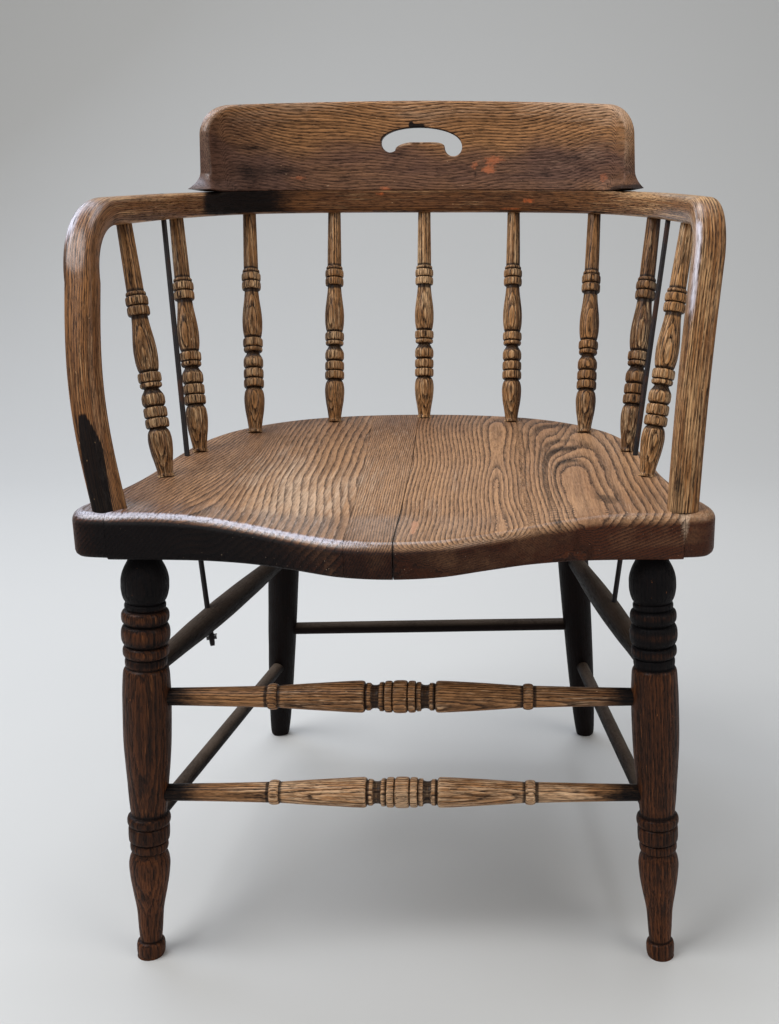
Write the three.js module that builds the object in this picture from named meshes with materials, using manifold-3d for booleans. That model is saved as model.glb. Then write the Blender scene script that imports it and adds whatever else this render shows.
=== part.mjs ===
// Captains chair with a bent arm bow, a pierced crest rail, nine turned spindles and a saddled plank seat.
// Millimetres, +Z up, the front of the chair toward -Y. Heights are measured from the floor.
import * as THREE from 'three';
import { mergeVertices } from 'three/addons/utils/BufferGeometryUtils.js';
import Module from 'manifold-3d';

const wasm = await Module();
wasm.setup();

// Fits shared by every joint
const fitGap = 0.3;
const cutOverrun = 6;
const socketSides = 8;
const dowelSides = 8;
const floorTrim = 12;

// Seat: outline and dish as shares of the half width and the depth, from the front centre to the back
const seatTop = 440;
const seatThickness = 42;
const seatEdgeRound = 10;
const seatUnderRound = 5;
const seatDishDepth = 14;
const dishAcrossShares = [0.214, 0.768];
const dishBackShares = [0.563, 0.885];
const dishFrontShares = [0, 0.282];
const dishFrontDepthShare = 0.7;
const seatHalfWidth = 280;
const seatLeftExtra = 5;
const seatDepth = 497;
const seatFrontBulge = 50;
const seatOutlineShares = [
  [0, 0], [0.15, 0.012], [0.29, 0.048], [0.42, 0.08], [0.57, 0.1], [0.75, 0.107], [0.89, 0.109],
  [0.972, 0.12], [1, 0.15], [0.99, 0.19], [0.948, 0.26], [0.914, 0.34], [0.893, 0.42],
  [0.882, 0.5], [0.864, 0.6],
  [0.845, 0.668], [0.816, 0.73], [0.77, 0.793], [0.707, 0.845], [0.612, 0.899], [0.5, 0.942],
  [0.378, 0.97], [0.25, 0.988], [0.125, 0.997], [0, 1],
];
const seatRoundSteps = 3;
const seatRingShares = [0.92, 0.8, 0.62, 0.42, 0.2];

// Seat boards: front and back ends of the seams as shares of the half width, and the ears at the corners
const leftSeamShares = [-0.136, -0.221];
const rightSeamShares = [0.011, -0.021];
const earWidth = 29;
const boardDowelRadius = 5;
const boardDowelReach = 24;
const boardDowelShares = [0.161, 0.503, 0.845];
const earDowelRadius = 4;
const earDowelLength = 24;
const earDowelReachShare = 0.38;
const earDowelShares = [0.2, 0.245];

// Arm bow: its plan from the back centre as shares of half width and depth, then each arm's bend and post
const railBottom = 675;
const railHeight = 26;
const railWidth = 28;
const postWidth = 28.5;
const postDepth = 22.5;
const postFootWidth = 26.5;
const postFootDepth = 21;
const bowHalfWidth = 273;
const bowDepth = 289;
const bowBackReach = 47;
const bowPlanShares = [[0, 0], [0.392, 0.021], [0.733, 0.166], [0.934, 0.5675], [1, 1]];
const bendSpread = { left: 15, right: 7 };
const bendForward = 93;
const bendRadius = { left: 88, right: 56 };
const postSideInset = 29.5;
const postFrontInset = 71;
const postBulge = { left: 8, right: -1.5 };
const bowSectionShares = [
  [1, -0.5], [1, 0.5], [0.84, 0.84], [0.5, 1], [-0.5, 1], [-0.84, 0.84],
  [-1, 0.5], [-1, -0.5], [-0.84, -0.84], [-0.5, -1], [0.5, -1], [0.84, -0.84],
];
const chamferedSectionShares = [
  [1, -0.5], [1, 0.5], [0.84, 0.84], [0.5, 1], [0.1, 0.97], [-0.5, 0.35],
  [-0.95, -0.45], [-1, -0.7], [-0.84, -0.88], [-0.5, -1], [0.5, -1], [0.84, -0.84],
];
const postChamferShare = { left: 1, right: 0 };
const bowPlanSteps = 3;
const bendSteps = 6;
const postSteps = 4;
const armDowelRadius = 5;
const armDowelReach = 20;

// Crest rail: stands on the bow, measured along the bow's centre line from the back centre;
// its left end is a little longer and flares more
const crestHalfLength = 266;
const crestHeight = 101;
const crestCrown = 10;
const crestFlare = 20;
const crestLeftExtra = 4;
const crestLeftFlare = 24;
const crestFlareHeight = 24;
const crestCornerReach = 50;
const crestCornerHeight = 34;
const crestTipLift = 3.2;
const crestTipShare = 0.9;
const crestBaseThickness = 28;
const crestTopThickness = 17;
const crestLean = 13;
const crestHollow = 3;
const crestEndThinning = 11;
const crestEndThinningTop = 5;
const crestEndThinningHeight = 14;
const crestEndShares = [0.77, 0.98];
const crestColumns = 24;
const crestRowShares = [0, 0.08, 0.2, 0.4, 0.66, 0.78, 0.88, 0.94, 0.976, 0.995];
const crestCapShares = [[0.5, 1], [-0.5, 1]];
const crestDowelRadius = 5;
const crestDowelReach = 17;
const crestDowelShares = [-0.88, -0.2, 0.2, 0.88];

// Hand hole: a kidney below the crest's top with a bump on its lower edge; its left lobe is less deep
// and runs out in a slant
const holeWidth = 96;
const holeShift = -2;
const holeDrop = 30.3;
const holeHeight = 32.5;
const holeLeftRise = 4.5;
const holeBumpHeight = 16;
const holeBumpWidth = 54;
const holeSlantAngle = -0.9;
const holeSlantDrop = 2.5;
const holeArchShare = 4 / 3;
const holeSteps = 9;

// Spindles: feet as shares of the seat's half width and depth, and heads under the bow's plan points
const spindleRadius = 11.4;
const spindleSeatReach = 22;
const spindleRailReach = 15;
const spindleFootShares = [[0, 0.954], [0.371, 0.905], [0.664, 0.787], [0.804, 0.594], [0.832, 0.382]];
const spindleSides = 8;
const spindleProfileShares = [
  [0, 0.63], [0.05, 0.75], [0.1, 0.93], [0.15, 1], [0.19, 0.8], [0.197, 0.62], [0.203, 0.98], [0.24, 0.98],
  [0.246, 0.78], [0.252, 0.98], [0.278, 0.98], [0.285, 0.72], [0.32, 0.98], [0.355, 0.62], [0.364, 0.86],
  [0.382, 0.9], [0.42, 0.98], [0.437, 0.76], [0.5, 0.98], [0.64, 0.68], [0.655, 0.95],
  [0.7, 0.95], [0.73, 0.82], [0.737, 0.72], [1, 0.65],
];

// Front legs: turned. Heads lie in from the seat's side and front, and feet splay outward and forward
const frontLegRadius = 21.7;
const frontLegInset = [54, 80];
const frontLegSplay = [19, 24];
const frontLegSides = 12;
const frontLegProfileShares = [
  [0, 0.58], [0.036, 0.6], [0.039, 0.47], [0.065, 0.51], [0.116, 0.565], [0.174, 0.735], [0.215, 0.84],
  [0.24, 0.87], [0.262, 0.8], [0.274, 0.71], [0.279, 0.78], [0.296, 0.79], [0.3, 0.72], [0.304, 0.86],
  [0.335, 0.87], [0.34, 0.78], [0.344, 0.9], [0.362, 0.9], [0.368, 0.75], [0.403, 0.805], [0.494, 0.935],
  [0.563, 0.995], [0.6585, 1], [0.729, 0.92], [0.7335, 0.8], [0.7375, 0.86], [0.7525, 0.86],
  [0.757, 0.8], [0.762, 0.93], [0.7805, 0.93], [0.785, 0.86], [0.791, 1], [0.83, 1], [0.8355, 0.85],
  [0.841, 0.95], [0.8625, 0.95], [0.869, 0.82], [0.8845, 0.8], [0.907, 0.94], [0.93, 0.98], [0.955, 0.9],
  [0.98, 0.68],
  [0.99, 0.61], [1, 0.6],
];
const legSeatReach = 24;

// Back legs: plain and tapered. Heads lie in from the seat's side and back, and feet splay out and back
const backLegRadius = 19;
const backLegInset = { left: [124.5, 95], right: [113, 95] };
const backLegSplay = { left: [48.5, 124], right: [37, 124] };
const backLegSides = 12;
const backLegProfileShares = [
  [0, 0.56], [0.015, 0.62], [0.15, 0.78], [0.3, 0.87], [0.63, 0.96], [0.9, 0.97], [0.95, 0.92],
  [0.972, 0.68], [0.98, 0.66], [1, 0.66],
];

// Stretchers: heights of their centre lines at the legs, and how near to the leg's axis the tenons reach
const frontTenonStop = 9;
const backTenonStop = 4;
const frontStretcherHeights = { upper: 261.5, lower: 167 };
const frontStretcherRadii = { upper: 14.6, lower: 14 };
const frontStretcherSides = 8;
const frontStretcherHalfShares = [
  [0, 0.56], [0.1, 0.58], [0.42, 0.67], [0.43, 0.8], [0.466, 0.8], [0.476, 0.71], [0.6, 0.82],
  [0.78, 0.97],
  [0.835, 1], [0.847, 0.95], [0.854, 0.8], [0.864, 0.84], [0.874, 0.72], [0.905, 0.72], [0.915, 0.9],
  [0.93, 0.99], [0.955, 1], [0.965, 0.97], [0.972, 0.86], [0.98, 1],
];
const sideUpperHeights = { left: [285, 275], right: [285, 273] };
const sideUpperRadius = 12.3;
const sideUpperProfileShares = [
  [0, 0.74], [0.12, 0.8], [0.3, 0.94], [0.48, 1], [0.7, 0.94], [0.88, 0.82], [1, 0.76],
];
const sideLowerHeights = { left: [135, 115], right: [133, 117] };
const sideLowerRadius = 7.6;
const backStretcherHeights = [169.5, 177];
const backStretcherRadius = 7.7;
const plainRoundShares = [[0, 0.97], [0.5, 1], [1, 0.97]];
const stretcherSides = 10;

// Tie rods: places as shares of half the bow, of the seat's half width and depth, and of the stretcher
const rodRadius = 2.7;
const rodBowShare = { left: 0.79, right: 0.849 };
const rodSeatShares = { left: [0.834, 0.551], right: [0.825, 0.555] };
const rodStretcherShare = { left: 0.369, right: 0.434 };
const rodTail = { left: 27, right: 6 };
const rodHeadRadius = 5;
const rodHeadThickness = 3;
const rodSides = 8;
const washerRadius = 6;
const washerThickness = 1.2;
const nutRadius = 5.2;
const nutSides = 6;
const nutThickness = 4;

const seatBottom = seatTop - seatThickness;
const seatFront = -seatFrontBulge;
const seatBack = seatFront + seatDepth;
const earSeam = seatHalfWidth - earWidth;
const boardDowelHeight = seatBottom + (seatThickness - seatDishDepth) / 2;
const railTop = railBottom + railHeight;
const railMiddle = railBottom + railHeight / 2;
const bowBack = seatBack + bowBackReach;
const bowPlan = bowPlanShares.map(([across, forward]) => (
  [across * bowHalfWidth, bowBack - forward * bowDepth]
));
const up = new THREE.Vector3(0, 0, 1);
const sides = { left: -1, right: 1 };

// Surface colours
const woods = {
  seat: [0x6b4528, 0.55], dark: [0x241a18, 0.6], honey: [0x9a6b3c, 0.5], crest: [0x6e4a32, 0.5],
  spindle: [0x7a5230, 0.5], leg: [0x4c2a1c, 0.5], stretcher: [0x9b6a35, 0.45], inner: [0xb98c5a, 0.7],
};
const iron = new THREE.MeshStandardMaterial({ color: 0x2a282b, roughness: 0.55, metalness: 0.8 });

function wood(kind) {
  const [color, roughness] = woods[kind];
  return new THREE.MeshStandardMaterial({ color, roughness, metalness: 0 });
}

function lerp(from, to, share) {
  return from + (to - from) * share;
}

function smooth(value, from, to) {
  return THREE.MathUtils.smoothstep(value, from, to);
}

// Solids and meshes
function toSolid(geometry) {
  const bare = geometry.clone();
  bare.deleteAttribute('normal');
  bare.deleteAttribute('uv');
  const welded = mergeVertices(bare);
  const vertProperties = new Float32Array(welded.attributes.position.array);
  const triVerts = new Uint32Array(welded.index.array);
  return new wasm.Manifold(new wasm.Mesh({ numProp: 3, vertProperties, triVerts }));
}

function toGeometry(solid) {
  const mesh = solid.getMesh();
  const geometry = new THREE.BufferGeometry();
  geometry.setAttribute('position', new THREE.BufferAttribute(mesh.vertProperties, 3));
  geometry.setIndex(new THREE.BufferAttribute(mesh.triVerts, 1));
  geometry.computeVertexNormals();
  return geometry;
}

function named(name, geometry, material) {
  const mesh = new THREE.Mesh(geometry, material);
  mesh.name = name;
  return mesh;
}

// Sets a mesh that was made along +Z on the line from start to end
function alongLine(mesh, start, end) {
  const direction = end.clone().sub(start).normalize();
  mesh.position.copy(start);
  mesh.quaternion.setFromUnitVectors(up, direction);
  return mesh;
}

// Cuts a placed mesh with solids given in the chair's frame, and keeps its own position and rotation
function carve(mesh, cutters) {
  mesh.updateMatrix();
  const placed = toSolid(mesh.geometry.clone().applyMatrix4(mesh.matrix));
  const cut = cutters.reduce((rest, cutter) => rest.subtract(cutter), placed);
  mesh.geometry = toGeometry(cut).applyMatrix4(mesh.matrix.clone().invert());
  return mesh;
}

// A round bar or hole between two points of the chair
function barSolid(start, end, radius, sideCount) {
  const length = start.distanceTo(end);
  const geometry = new THREE.CylinderGeometry(radius, radius, length, sideCount);
  geometry.rotateX(Math.PI / 2);
  geometry.translate(0, 0, length / 2);
  const mesh = alongLine(new THREE.Mesh(geometry), start, end);
  mesh.updateMatrix();
  return toSolid(geometry.applyMatrix4(mesh.matrix));
}

function boxSolid(low, high) {
  const size = high.clone().sub(low);
  const middle = low.clone().add(high).divideScalar(2);
  return toSolid(new THREE.BoxGeometry(size.x, size.y, size.z).translate(middle.x, middle.y, middle.z));
}

// A closed skin from rings with equal numbers of points, with a fan on each end
function ringSkin(rings) {
  const count = rings[0].length;
  const points = rings.flat();
  const faces = [];
  for (let ring = 0; ring < rings.length - 1; ring += 1) {
    for (let i = 0; i < count; i += 1) {
      const next = (i + 1) % count;
      const here = ring * count;
      const there = here + count;
      faces.push(here + i, here + next, there + i, here + next, there + next, there + i);
    }
  }
  const lastRing = (rings.length - 1) * count;
  const firstMiddle = points.push(middleOf(rings[0])) - 1;
  const lastMiddle = points.push(middleOf(rings[rings.length - 1])) - 1;
  for (let i = 0; i < count; i += 1) {
    const next = (i + 1) % count;
    faces.push(firstMiddle, next, i, lastMiddle, lastRing + i, lastRing + next);
  }
  const geometry = new THREE.BufferGeometry().setFromPoints(points);
  geometry.setIndex(faces);
  geometry.computeVertexNormals();
  return geometry;
}

function middleOf(points) {
  const sum = points.reduce((total, point) => total.add(point), new THREE.Vector3());
  return sum.divideScalar(points.length);
}

// A turned piece standing on +Z: its profile as shares of the length and of the widest radius
function turning({ shares, radius, footReach, headReach, sideCount }, length) {
  const [first] = shares;
  const last = shares[shares.length - 1];
  const outline = [
    [0, 0], [first[1] * radius, 0],
    ...shares.map(([at, wide]) => [wide * radius, footReach + at * length]),
    [last[1] * radius, footReach + length + headReach], [0, footReach + length + headReach],
  ];
  const points = outline.map(([r, z]) => new THREE.Vector2(r, z));
  return new THREE.LatheGeometry(points, sideCount).rotateX(Math.PI / 2).rotateZ(Math.PI / sideCount);
}

// Seat: a place on it from shares of its half width and depth, and its outline, dish and sawn blank
function onSeat([across, back], sign, z) {
  return new THREE.Vector3(sign * across * seatHalfWidth, seatFront + back * seatDepth, z);
}

function seatOutline() {
  const leftStretch = -(seatHalfWidth + seatLeftExtra) / seatHalfWidth;
  const right = seatOutlineShares.map((shares) => onSeat(shares, 1, 0));
  const left = seatOutlineShares.slice(1, -1).reverse().map((shares) => onSeat(shares, leftStretch, 0));
  const points = [...right, ...left];
  const curve = new THREE.CatmullRomCurve3(points, true, 'centripetal');
  return points.map((point, i) => {
    const tangent = curve.getTangent(i / points.length);
    return { point, inward: new THREE.Vector3(-tangent.y, tangent.x, 0) };
  });
}

function seatDish(x, y) {
  const acrossShare = Math.abs(x) / seatHalfWidth;
  const depthShare = (y - seatFront) / seatDepth;
  const across = 1 - smooth(acrossShare, ...dishAcrossShares);
  const back = 1 - smooth(depthShare, ...dishBackShares);
  const front = lerp(dishFrontDepthShare, 1, smooth(depthShare, ...dishFrontShares));
  return seatDishDepth * across * back * front;
}

function seatBlank() {
  const rim = seatOutline();
  const middle = new THREE.Vector3(0, seatFront + seatDepth / 2, 0);
  const inset = (by, height) => rim.map(({ point, inward }) => {
    const moved = point.clone().addScaledVector(inward, by);
    return moved.setZ(height(moved.x, moved.y));
  });
  const rings = [
    inset(seatUnderRound, () => seatBottom),
    inset(0, () => seatBottom + seatUnderRound),
  ];
  for (let step = 0; step <= seatRoundSteps; step += 1) {
    const angle = (step / seatRoundSteps) * Math.PI / 2;
    const drop = seatEdgeRound * (1 - Math.sin(angle));
    rings.push(inset(seatEdgeRound * (1 - Math.cos(angle)), (x, y) => seatTop - seatDish(x, y) - drop));
  }
  const edge = rings[rings.length - 1];
  for (const share of seatRingShares) {
    rings.push(edge.map((point) => {
      const moved = middle.clone().lerp(point, share);
      return moved.setZ(seatTop - seatDish(moved.x, moved.y));
    }));
  }
  return toSolid(ringSkin(rings));
}

function seamLine([front, back], offset) {
  const low = seatFront - cutOverrun;
  const high = seatBack + cutOverrun;
  return [
    new THREE.Vector2(front * seatHalfWidth + offset, low),
    new THREE.Vector2(back * seatHalfWidth + offset, high),
  ];
}

// The upright slab of space between two seams
function boardRegion(from, to) {
  const shape = new THREE.Shape([...seamLine(from, fitGap / 2), ...seamLine(to, -fitGap / 2).reverse()]);
  const depth = seatThickness + 2 * cutOverrun;
  const geometry = new THREE.ExtrudeGeometry(shape, { depth, bevelEnabled: false });
  return toSolid(geometry.translate(0, 0, seatBottom - cutOverrun));
}

// Where a seam lies at a share of the seat's depth
function onSeam([front, back], share) {
  return onSeat([lerp(front, back, share), share], 1, boardDowelHeight);
}

function boardDowels() {
  const reach = new THREE.Vector3(boardDowelReach, 0, 0);
  return boardDowelShares.map((share, index) => ({
    name: `seat_dowel_${index + 1}`,
    start: onSeam(leftSeamShares, share).sub(reach),
    end: onSeam(rightSeamShares, share).add(reach),
    radius: boardDowelRadius,
  }));
}

function earDowels() {
  const tip = earSeam + earDowelReachShare * earWidth;
  return Object.entries(sides).flatMap(([side, sign]) => earDowelShares.map((share, index) => {
    const y = seatFront + share * seatDepth;
    return {
      name: `ear_dowel_${side}_${index + 1}`,
      start: new THREE.Vector3(sign * (tip - earDowelLength), y, boardDowelHeight),
      end: new THREE.Vector3(sign * tip, y, boardDowelHeight),
      radius: earDowelRadius,
    };
  }));
}

function dowelMesh({ name, start, end, radius }) {
  const length = start.distanceTo(end);
  const geometry = new THREE.CylinderGeometry(radius, radius, length, dowelSides);
  geometry.rotateX(Math.PI / 2).translate(0, 0, length / 2);
  return alongLine(named(name, geometry, wood('inner')), start, end);
}

// A hole whose flats clear a round pin by the gap
function roundHole(from, to, radius) {
  return barSolid(from, to, (radius + fitGap) / Math.cos(Math.PI / socketSides), socketSides);
}

// A hole round a buried dowel, longer than it by the gap at both ends
function dowelSocket({ start, end, radius }) {
  const along = end.clone().sub(start).normalize();
  const from = start.clone().addScaledVector(along, -fitGap);
  const to = end.clone().addScaledVector(along, fitGap);
  return roundHole(from, to, radius);
}

// A hole round a tenon, from just past its buried tip to clear of the surface that it enters
function tenonSocket({ tip, shoulder, radius }) {
  const outward = shoulder.clone().sub(tip).normalize();
  const from = tip.clone().addScaledVector(outward, -fitGap);
  const to = shoulder.clone().addScaledVector(outward, cutOverrun);
  return roundHole(from, to, radius);
}

// Arm bow: the rail seen from above, from the left arm round the back to the right arm
function bowPlanCurve() {
  const right = bowPlan.map(([x, y]) => new THREE.Vector3(x, y, railMiddle));
  const left = right.slice(1).reverse().map((point) => mirrored(point));
  return new THREE.CatmullRomCurve3([...left, ...right], false, 'centripetal');
}

function mirrored(point) {
  return new THREE.Vector3(-point.x, point.y, point.z);
}

// The bend at the front of an arm: an arc that meets the rail and the post, from the rail down
function bendPoints(corner, arrive, leave, radius) {
  const half = arrive.angleTo(leave) / 2;
  const start = corner.clone().addScaledVector(arrive, -radius * Math.tan(half));
  const toCentre = leave.clone().addScaledVector(arrive, -leave.dot(arrive)).normalize();
  return Array.from({ length: bendSteps + 1 }, (_, step) => {
    const angle = (step / bendSteps) * 2 * half;
    const point = start.clone().addScaledVector(arrive, radius * Math.sin(angle));
    return point.addScaledVector(toCentre, radius * (1 - Math.cos(angle)));
  });
}

// The post below the bend: nearly straight, bulging a little, and run past the seat's top to be cut there
function postPoints(from, foot, bulge) {
  const points = Array.from({ length: postSteps }, (_, i) => {
    const share = (i + 1) / postSteps;
    const swell = bulge * Math.sin(Math.PI * share);
    return from.clone().lerp(foot, share).add(new THREE.Vector3(swell, 0, 0));
  });
  const past = foot.clone().sub(points[postSteps - 2]).setLength(cutOverrun + postDepth / 2);
  return [...points, foot.clone().add(past)];
}

function armLine(side) {
  const sign = sides[side];
  const [armX, armY] = bowPlan[bowPlan.length - 1];
  const arm = new THREE.Vector3(sign * armX, armY, railMiddle);
  const corner = new THREE.Vector3(sign * (armX + bendSpread[side]), armY - bendForward, railMiddle);
  const footX = sign * (seatHalfWidth - postSideInset);
  const foot = new THREE.Vector3(footX, seatFront + postFrontInset, seatTop);
  const arrive = corner.clone().sub(arm).normalize();
  const leave = foot.clone().sub(corner).normalize();
  const bend = bendPoints(corner, arrive, leave, bendRadius[side]);
  const post = postPoints(bend[bendSteps], foot, sign * postBulge[side]);
  const outward = new THREE.Vector3(-arrive.y, arrive.x, 0).multiplyScalar(sign);
  return { points: [...bend, ...post], foot, outward };
}

// Stations carry the centre, the direction of travel, the outward direction and the size of the section
function armStations(side) {
  const { points, outward } = armLine(side);
  return points.map((centre, i) => {
    const before = points[Math.max(i - 1, 0)];
    const after = points[Math.min(i + 1, points.length - 1)];
    const bendShare = Math.min(i / bendSteps, 1);
    const footShare = THREE.MathUtils.clamp((i - bendSteps) / postSteps, 0, 1);
    return {
      centre,
      tangent: after.clone().sub(before).normalize(),
      outward,
      width: lerp(lerp(railWidth, postWidth, bendShare), postFootWidth, footShare),
      height: lerp(lerp(railHeight, postDepth, bendShare), postFootDepth, footShare),
      chamfer: postChamferShare[side] * footShare,
    };
  });
}

function railStations() {
  const curve = bowPlanCurve();
  const count = (bowPlan.length - 1) * 2 * bowPlanSteps;
  return Array.from({ length: count + 1 }, (_, i) => {
    const tangent = curve.getTangent(i / count);
    const outward = new THREE.Vector3(-tangent.y, tangent.x, 0);
    const centre = curve.getPoint(i / count);
    return { centre, tangent, outward, width: railWidth, height: railHeight, chamfer: 0 };
  });
}

function sectionRing({ centre, tangent, outward, width, height, chamfer }) {
  const across = outward.clone().addScaledVector(tangent, -outward.dot(tangent)).normalize();
  const lift = tangent.clone().cross(across).normalize();
  return bowSectionShares.map(([a, b], i) => {
    const [chamferedA, chamferedB] = chamferedSectionShares[i];
    return centre.clone()
      .addScaledVector(across, lerp(a, chamferedA, chamfer) * width / 2)
      .addScaledVector(lift, lerp(b, chamferedB, chamfer) * height / 2);
  });
}

function armBow(cutters) {
  const left = armStations('left').reverse();
  left.forEach((station) => station.tangent.negate());
  const stations = [...left, ...railStations(), ...armStations('right')];
  const low = new THREE.Vector3(-2 * seatHalfWidth, seatFront, seatBottom);
  const high = new THREE.Vector3(2 * seatHalfWidth, seatBack, seatTop + fitGap);
  const bow = named('arm_bow', ringSkin(stations.map(sectionRing)), wood('honey'));
  return carve(bow, [boxSolid(low, high), ...cutters]);
}

function armDowel(side) {
  const { points, foot } = armLine(side);
  const along = points[points.length - 1].clone().sub(foot).normalize();
  return {
    name: `arm_dowel_${side}`,
    start: foot.clone().addScaledVector(along, -armDowelReach),
    end: foot.clone().addScaledVector(along, armDowelReach),
    radius: armDowelRadius,
  };
}

// Crest rail: half its length at a share of the height, and its section, which leans less toward the ends
// and is thinned there from its front
function crestHalfLengthAt(share, toLeft) {
  const flareLeft = Math.max(0, 1 - share * crestHeight / crestFlareHeight);
  const cornerLeft = Math.max(0, 1 - (1 - share) * crestHeight / crestCornerHeight);
  const corner = crestCornerReach * (1 - Math.sqrt(1 - cornerLeft ** 2));
  const length = crestHalfLength + (toLeft ? crestLeftExtra : 0);
  return length + (toLeft ? crestLeftFlare : crestFlare) * flareLeft ** 2 - corner;
}

function crestSection(topLean, endShare) {
  const half = (share) => lerp(crestBaseThickness, crestTopThickness, share) / 2;
  const lean = (share) => topLean * share;
  const thinning = (share) => {
    const rise = smooth(share * crestHeight, 0, crestEndThinningHeight);
    return endShare * rise * lerp(crestEndThinning, crestEndThinningTop, share);
  };
  const back = crestRowShares.map((share) => [lean(share) + half(share), share]);
  const cap = crestCapShares.map(([across, share]) => (
    [lean(1) + across * half(1) + (across < 0 ? thinning(1) : 0), share]
  ));
  const front = crestRowShares.map((share) => [
    lean(share) - half(share) + crestHollow * Math.sin(Math.PI * share) + thinning(share), share,
  ]);
  return [...back, ...cap, ...front.reverse()];
}

function crestRail(cutters) {
  const curve = bowPlanCurve();
  const length = curve.getLength();
  const base = railTop + fitGap;
  const rings = Array.from({ length: crestColumns + 1 }, (_, column) => {
    const across = (2 * column) / crestColumns - 1;
    const height = crestHeight - crestCrown * across ** 2;
    const tip = Math.max(0, Math.abs(across) - crestTipShare) / (1 - crestTipShare);
    const end = smooth(Math.abs(across), ...crestEndShares);
    return crestSection(crestLean * (1 - across ** 2), end).map(([out, share]) => {
      const at = 0.5 + across * crestHalfLengthAt(share, across < 0) / length;
      const tangent = curve.getTangentAt(at);
      const point = curve.getPointAt(at);
      const outward = new THREE.Vector3(-tangent.y, tangent.x, 0);
      return point.addScaledVector(outward, out).setZ(base + lerp(crestTipLift * tip, height, share));
    });
  });
  return carve(named('crest_rail', ringSkin(rings), wood('crest')), [handHole(), ...cutters]);
}

// The kidney: an arched top, round lobes and a bump on the lower edge
function handHole() {
  const half = holeWidth / 2;
  const bump = holeBumpWidth / 2;
  const lobe = (half - bump) / 2;
  const top = railTop + fitGap + crestHeight - holeDrop;
  const rightLobe = top - holeHeight + lobe;
  const leftLobe = rightLobe + holeLeftRise;
  const bumpTop = top - holeHeight + holeBumpHeight;
  const arch = lerp((leftLobe + rightLobe) / 2, top, holeArchShare);
  const shape = new THREE.Shape();
  shape.moveTo(-half, leftLobe);
  shape.bezierCurveTo(-half, arch, half, arch, half, rightLobe);
  shape.absarc(half - lobe, rightLobe, lobe, 0, -Math.PI, true);
  shape.quadraticCurveTo(bump, bumpTop, bump / 2, bumpTop);
  shape.lineTo(-bump / 2, bumpTop);
  const slant = new THREE.Vector2(lobe, 0).rotateAround(new THREE.Vector2(), holeSlantAngle);
  shape.quadraticCurveTo(
    -bump + slant.x - lobe, bumpTop - holeSlantDrop, lobe - half + slant.x, leftLobe + slant.y,
  );
  shape.absarc(lobe - half, leftLobe, lobe, holeSlantAngle, -Math.PI, true);
  const depth = crestBaseThickness + crestLean + 2 * cutOverrun;
  const options = { depth, curveSegments: holeSteps, bevelEnabled: false };
  const geometry = new THREE.ExtrudeGeometry(shape, options).rotateX(Math.PI / 2);
  const back = bowBack - crestBaseThickness / 2 - cutOverrun + depth;
  return toSolid(geometry.translate(holeShift, back, 0));
}

function crestDowels() {
  const curve = bowPlanCurve();
  const length = curve.getLength();
  return crestDowelShares.map((share, index) => {
    const point = curve.getPointAt(0.5 + share * crestHalfLength / length);
    return {
      name: `crest_dowel_${index + 1}`,
      start: point.clone().setZ(railTop - crestDowelReach),
      end: point.clone().setZ(railTop + crestDowelReach),
      radius: crestDowelRadius,
    };
  });
}

// Turned rails and legs share one description: two ends, the widest radius and how far the tenons reach
function turnedPiece(name, kind, from, to, spec) {
  const along = to.clone().sub(from).normalize();
  const geometry = turning(spec, from.distanceTo(to));
  const start = from.clone().addScaledVector(along, -spec.footReach);
  const end = to.clone().addScaledVector(along, spec.headReach);
  const lastShare = spec.shares[spec.shares.length - 1][1];
  return {
    mesh: alongLine(named(name, geometry, wood(kind)), start, end),
    foot: { tip: start, shoulder: from, radius: spec.shares[0][1] * spec.radius },
    head: { tip: end, shoulder: to, radius: lastShare * spec.radius },
    from,
    to,
    along,
  };
}

// Spindles, numbered from the chair's left arm (seen from the front) to the right arm
function spindlePieces() {
  const last = spindleFootShares.length - 1;
  const count = 2 * last + 1;
  return Array.from({ length: count }, (_, i) => {
    const index = Math.abs(i - last);
    const sign = Math.sign(i - last);
    const [headX, headY] = bowPlan[index];
    const foot = onSeat(spindleFootShares[index], sign, seatTop);
    const head = new THREE.Vector3(sign * headX, headY, railBottom);
    return turnedPiece(`spindle_${i + 1}`, 'spindle', foot, head, {
      shares: spindleProfileShares, radius: spindleRadius, sideCount: spindleSides,
      footReach: spindleSeatReach, headReach: spindleRailReach,
    });
  });
}

// A leg from its foot on the floor to its head under the seat, from the head's place and the foot's splay
function legPiece(name, kind, side, [headX, headY], [splayX, splayY], spec) {
  const sign = sides[side];
  const from = new THREE.Vector3(sign * (headX + splayX), headY + splayY, 0);
  const to = new THREE.Vector3(sign * headX, headY, seatBottom);
  return turnedPiece(name, kind, from, to, { ...spec, footReach: floorTrim, headReach: legSeatReach });
}

function legPieces(side) {
  const [frontSide, frontIn] = frontLegInset;
  const [backSide, backIn] = backLegInset[side];
  const [splayX, splayForward] = frontLegSplay;
  const frontHead = [seatHalfWidth - frontSide, seatFront + frontIn];
  const backHead = [seatHalfWidth - backSide, seatBack - backIn];
  const front = legPiece(`front_leg_${side}`, 'leg', side, frontHead, [splayX, -splayForward], {
    shares: frontLegProfileShares, radius: frontLegRadius, sideCount: frontLegSides,
  });
  const back = legPiece(`back_leg_${side}`, 'dark', side, backHead, backLegSplay[side], {
    shares: backLegProfileShares, radius: backLegRadius, sideCount: backLegSides,
  });
  return { front, back };
}

function onAxis({ from, to }, height) {
  return from.clone().lerp(to, height / (to.z - from.z));
}

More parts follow.
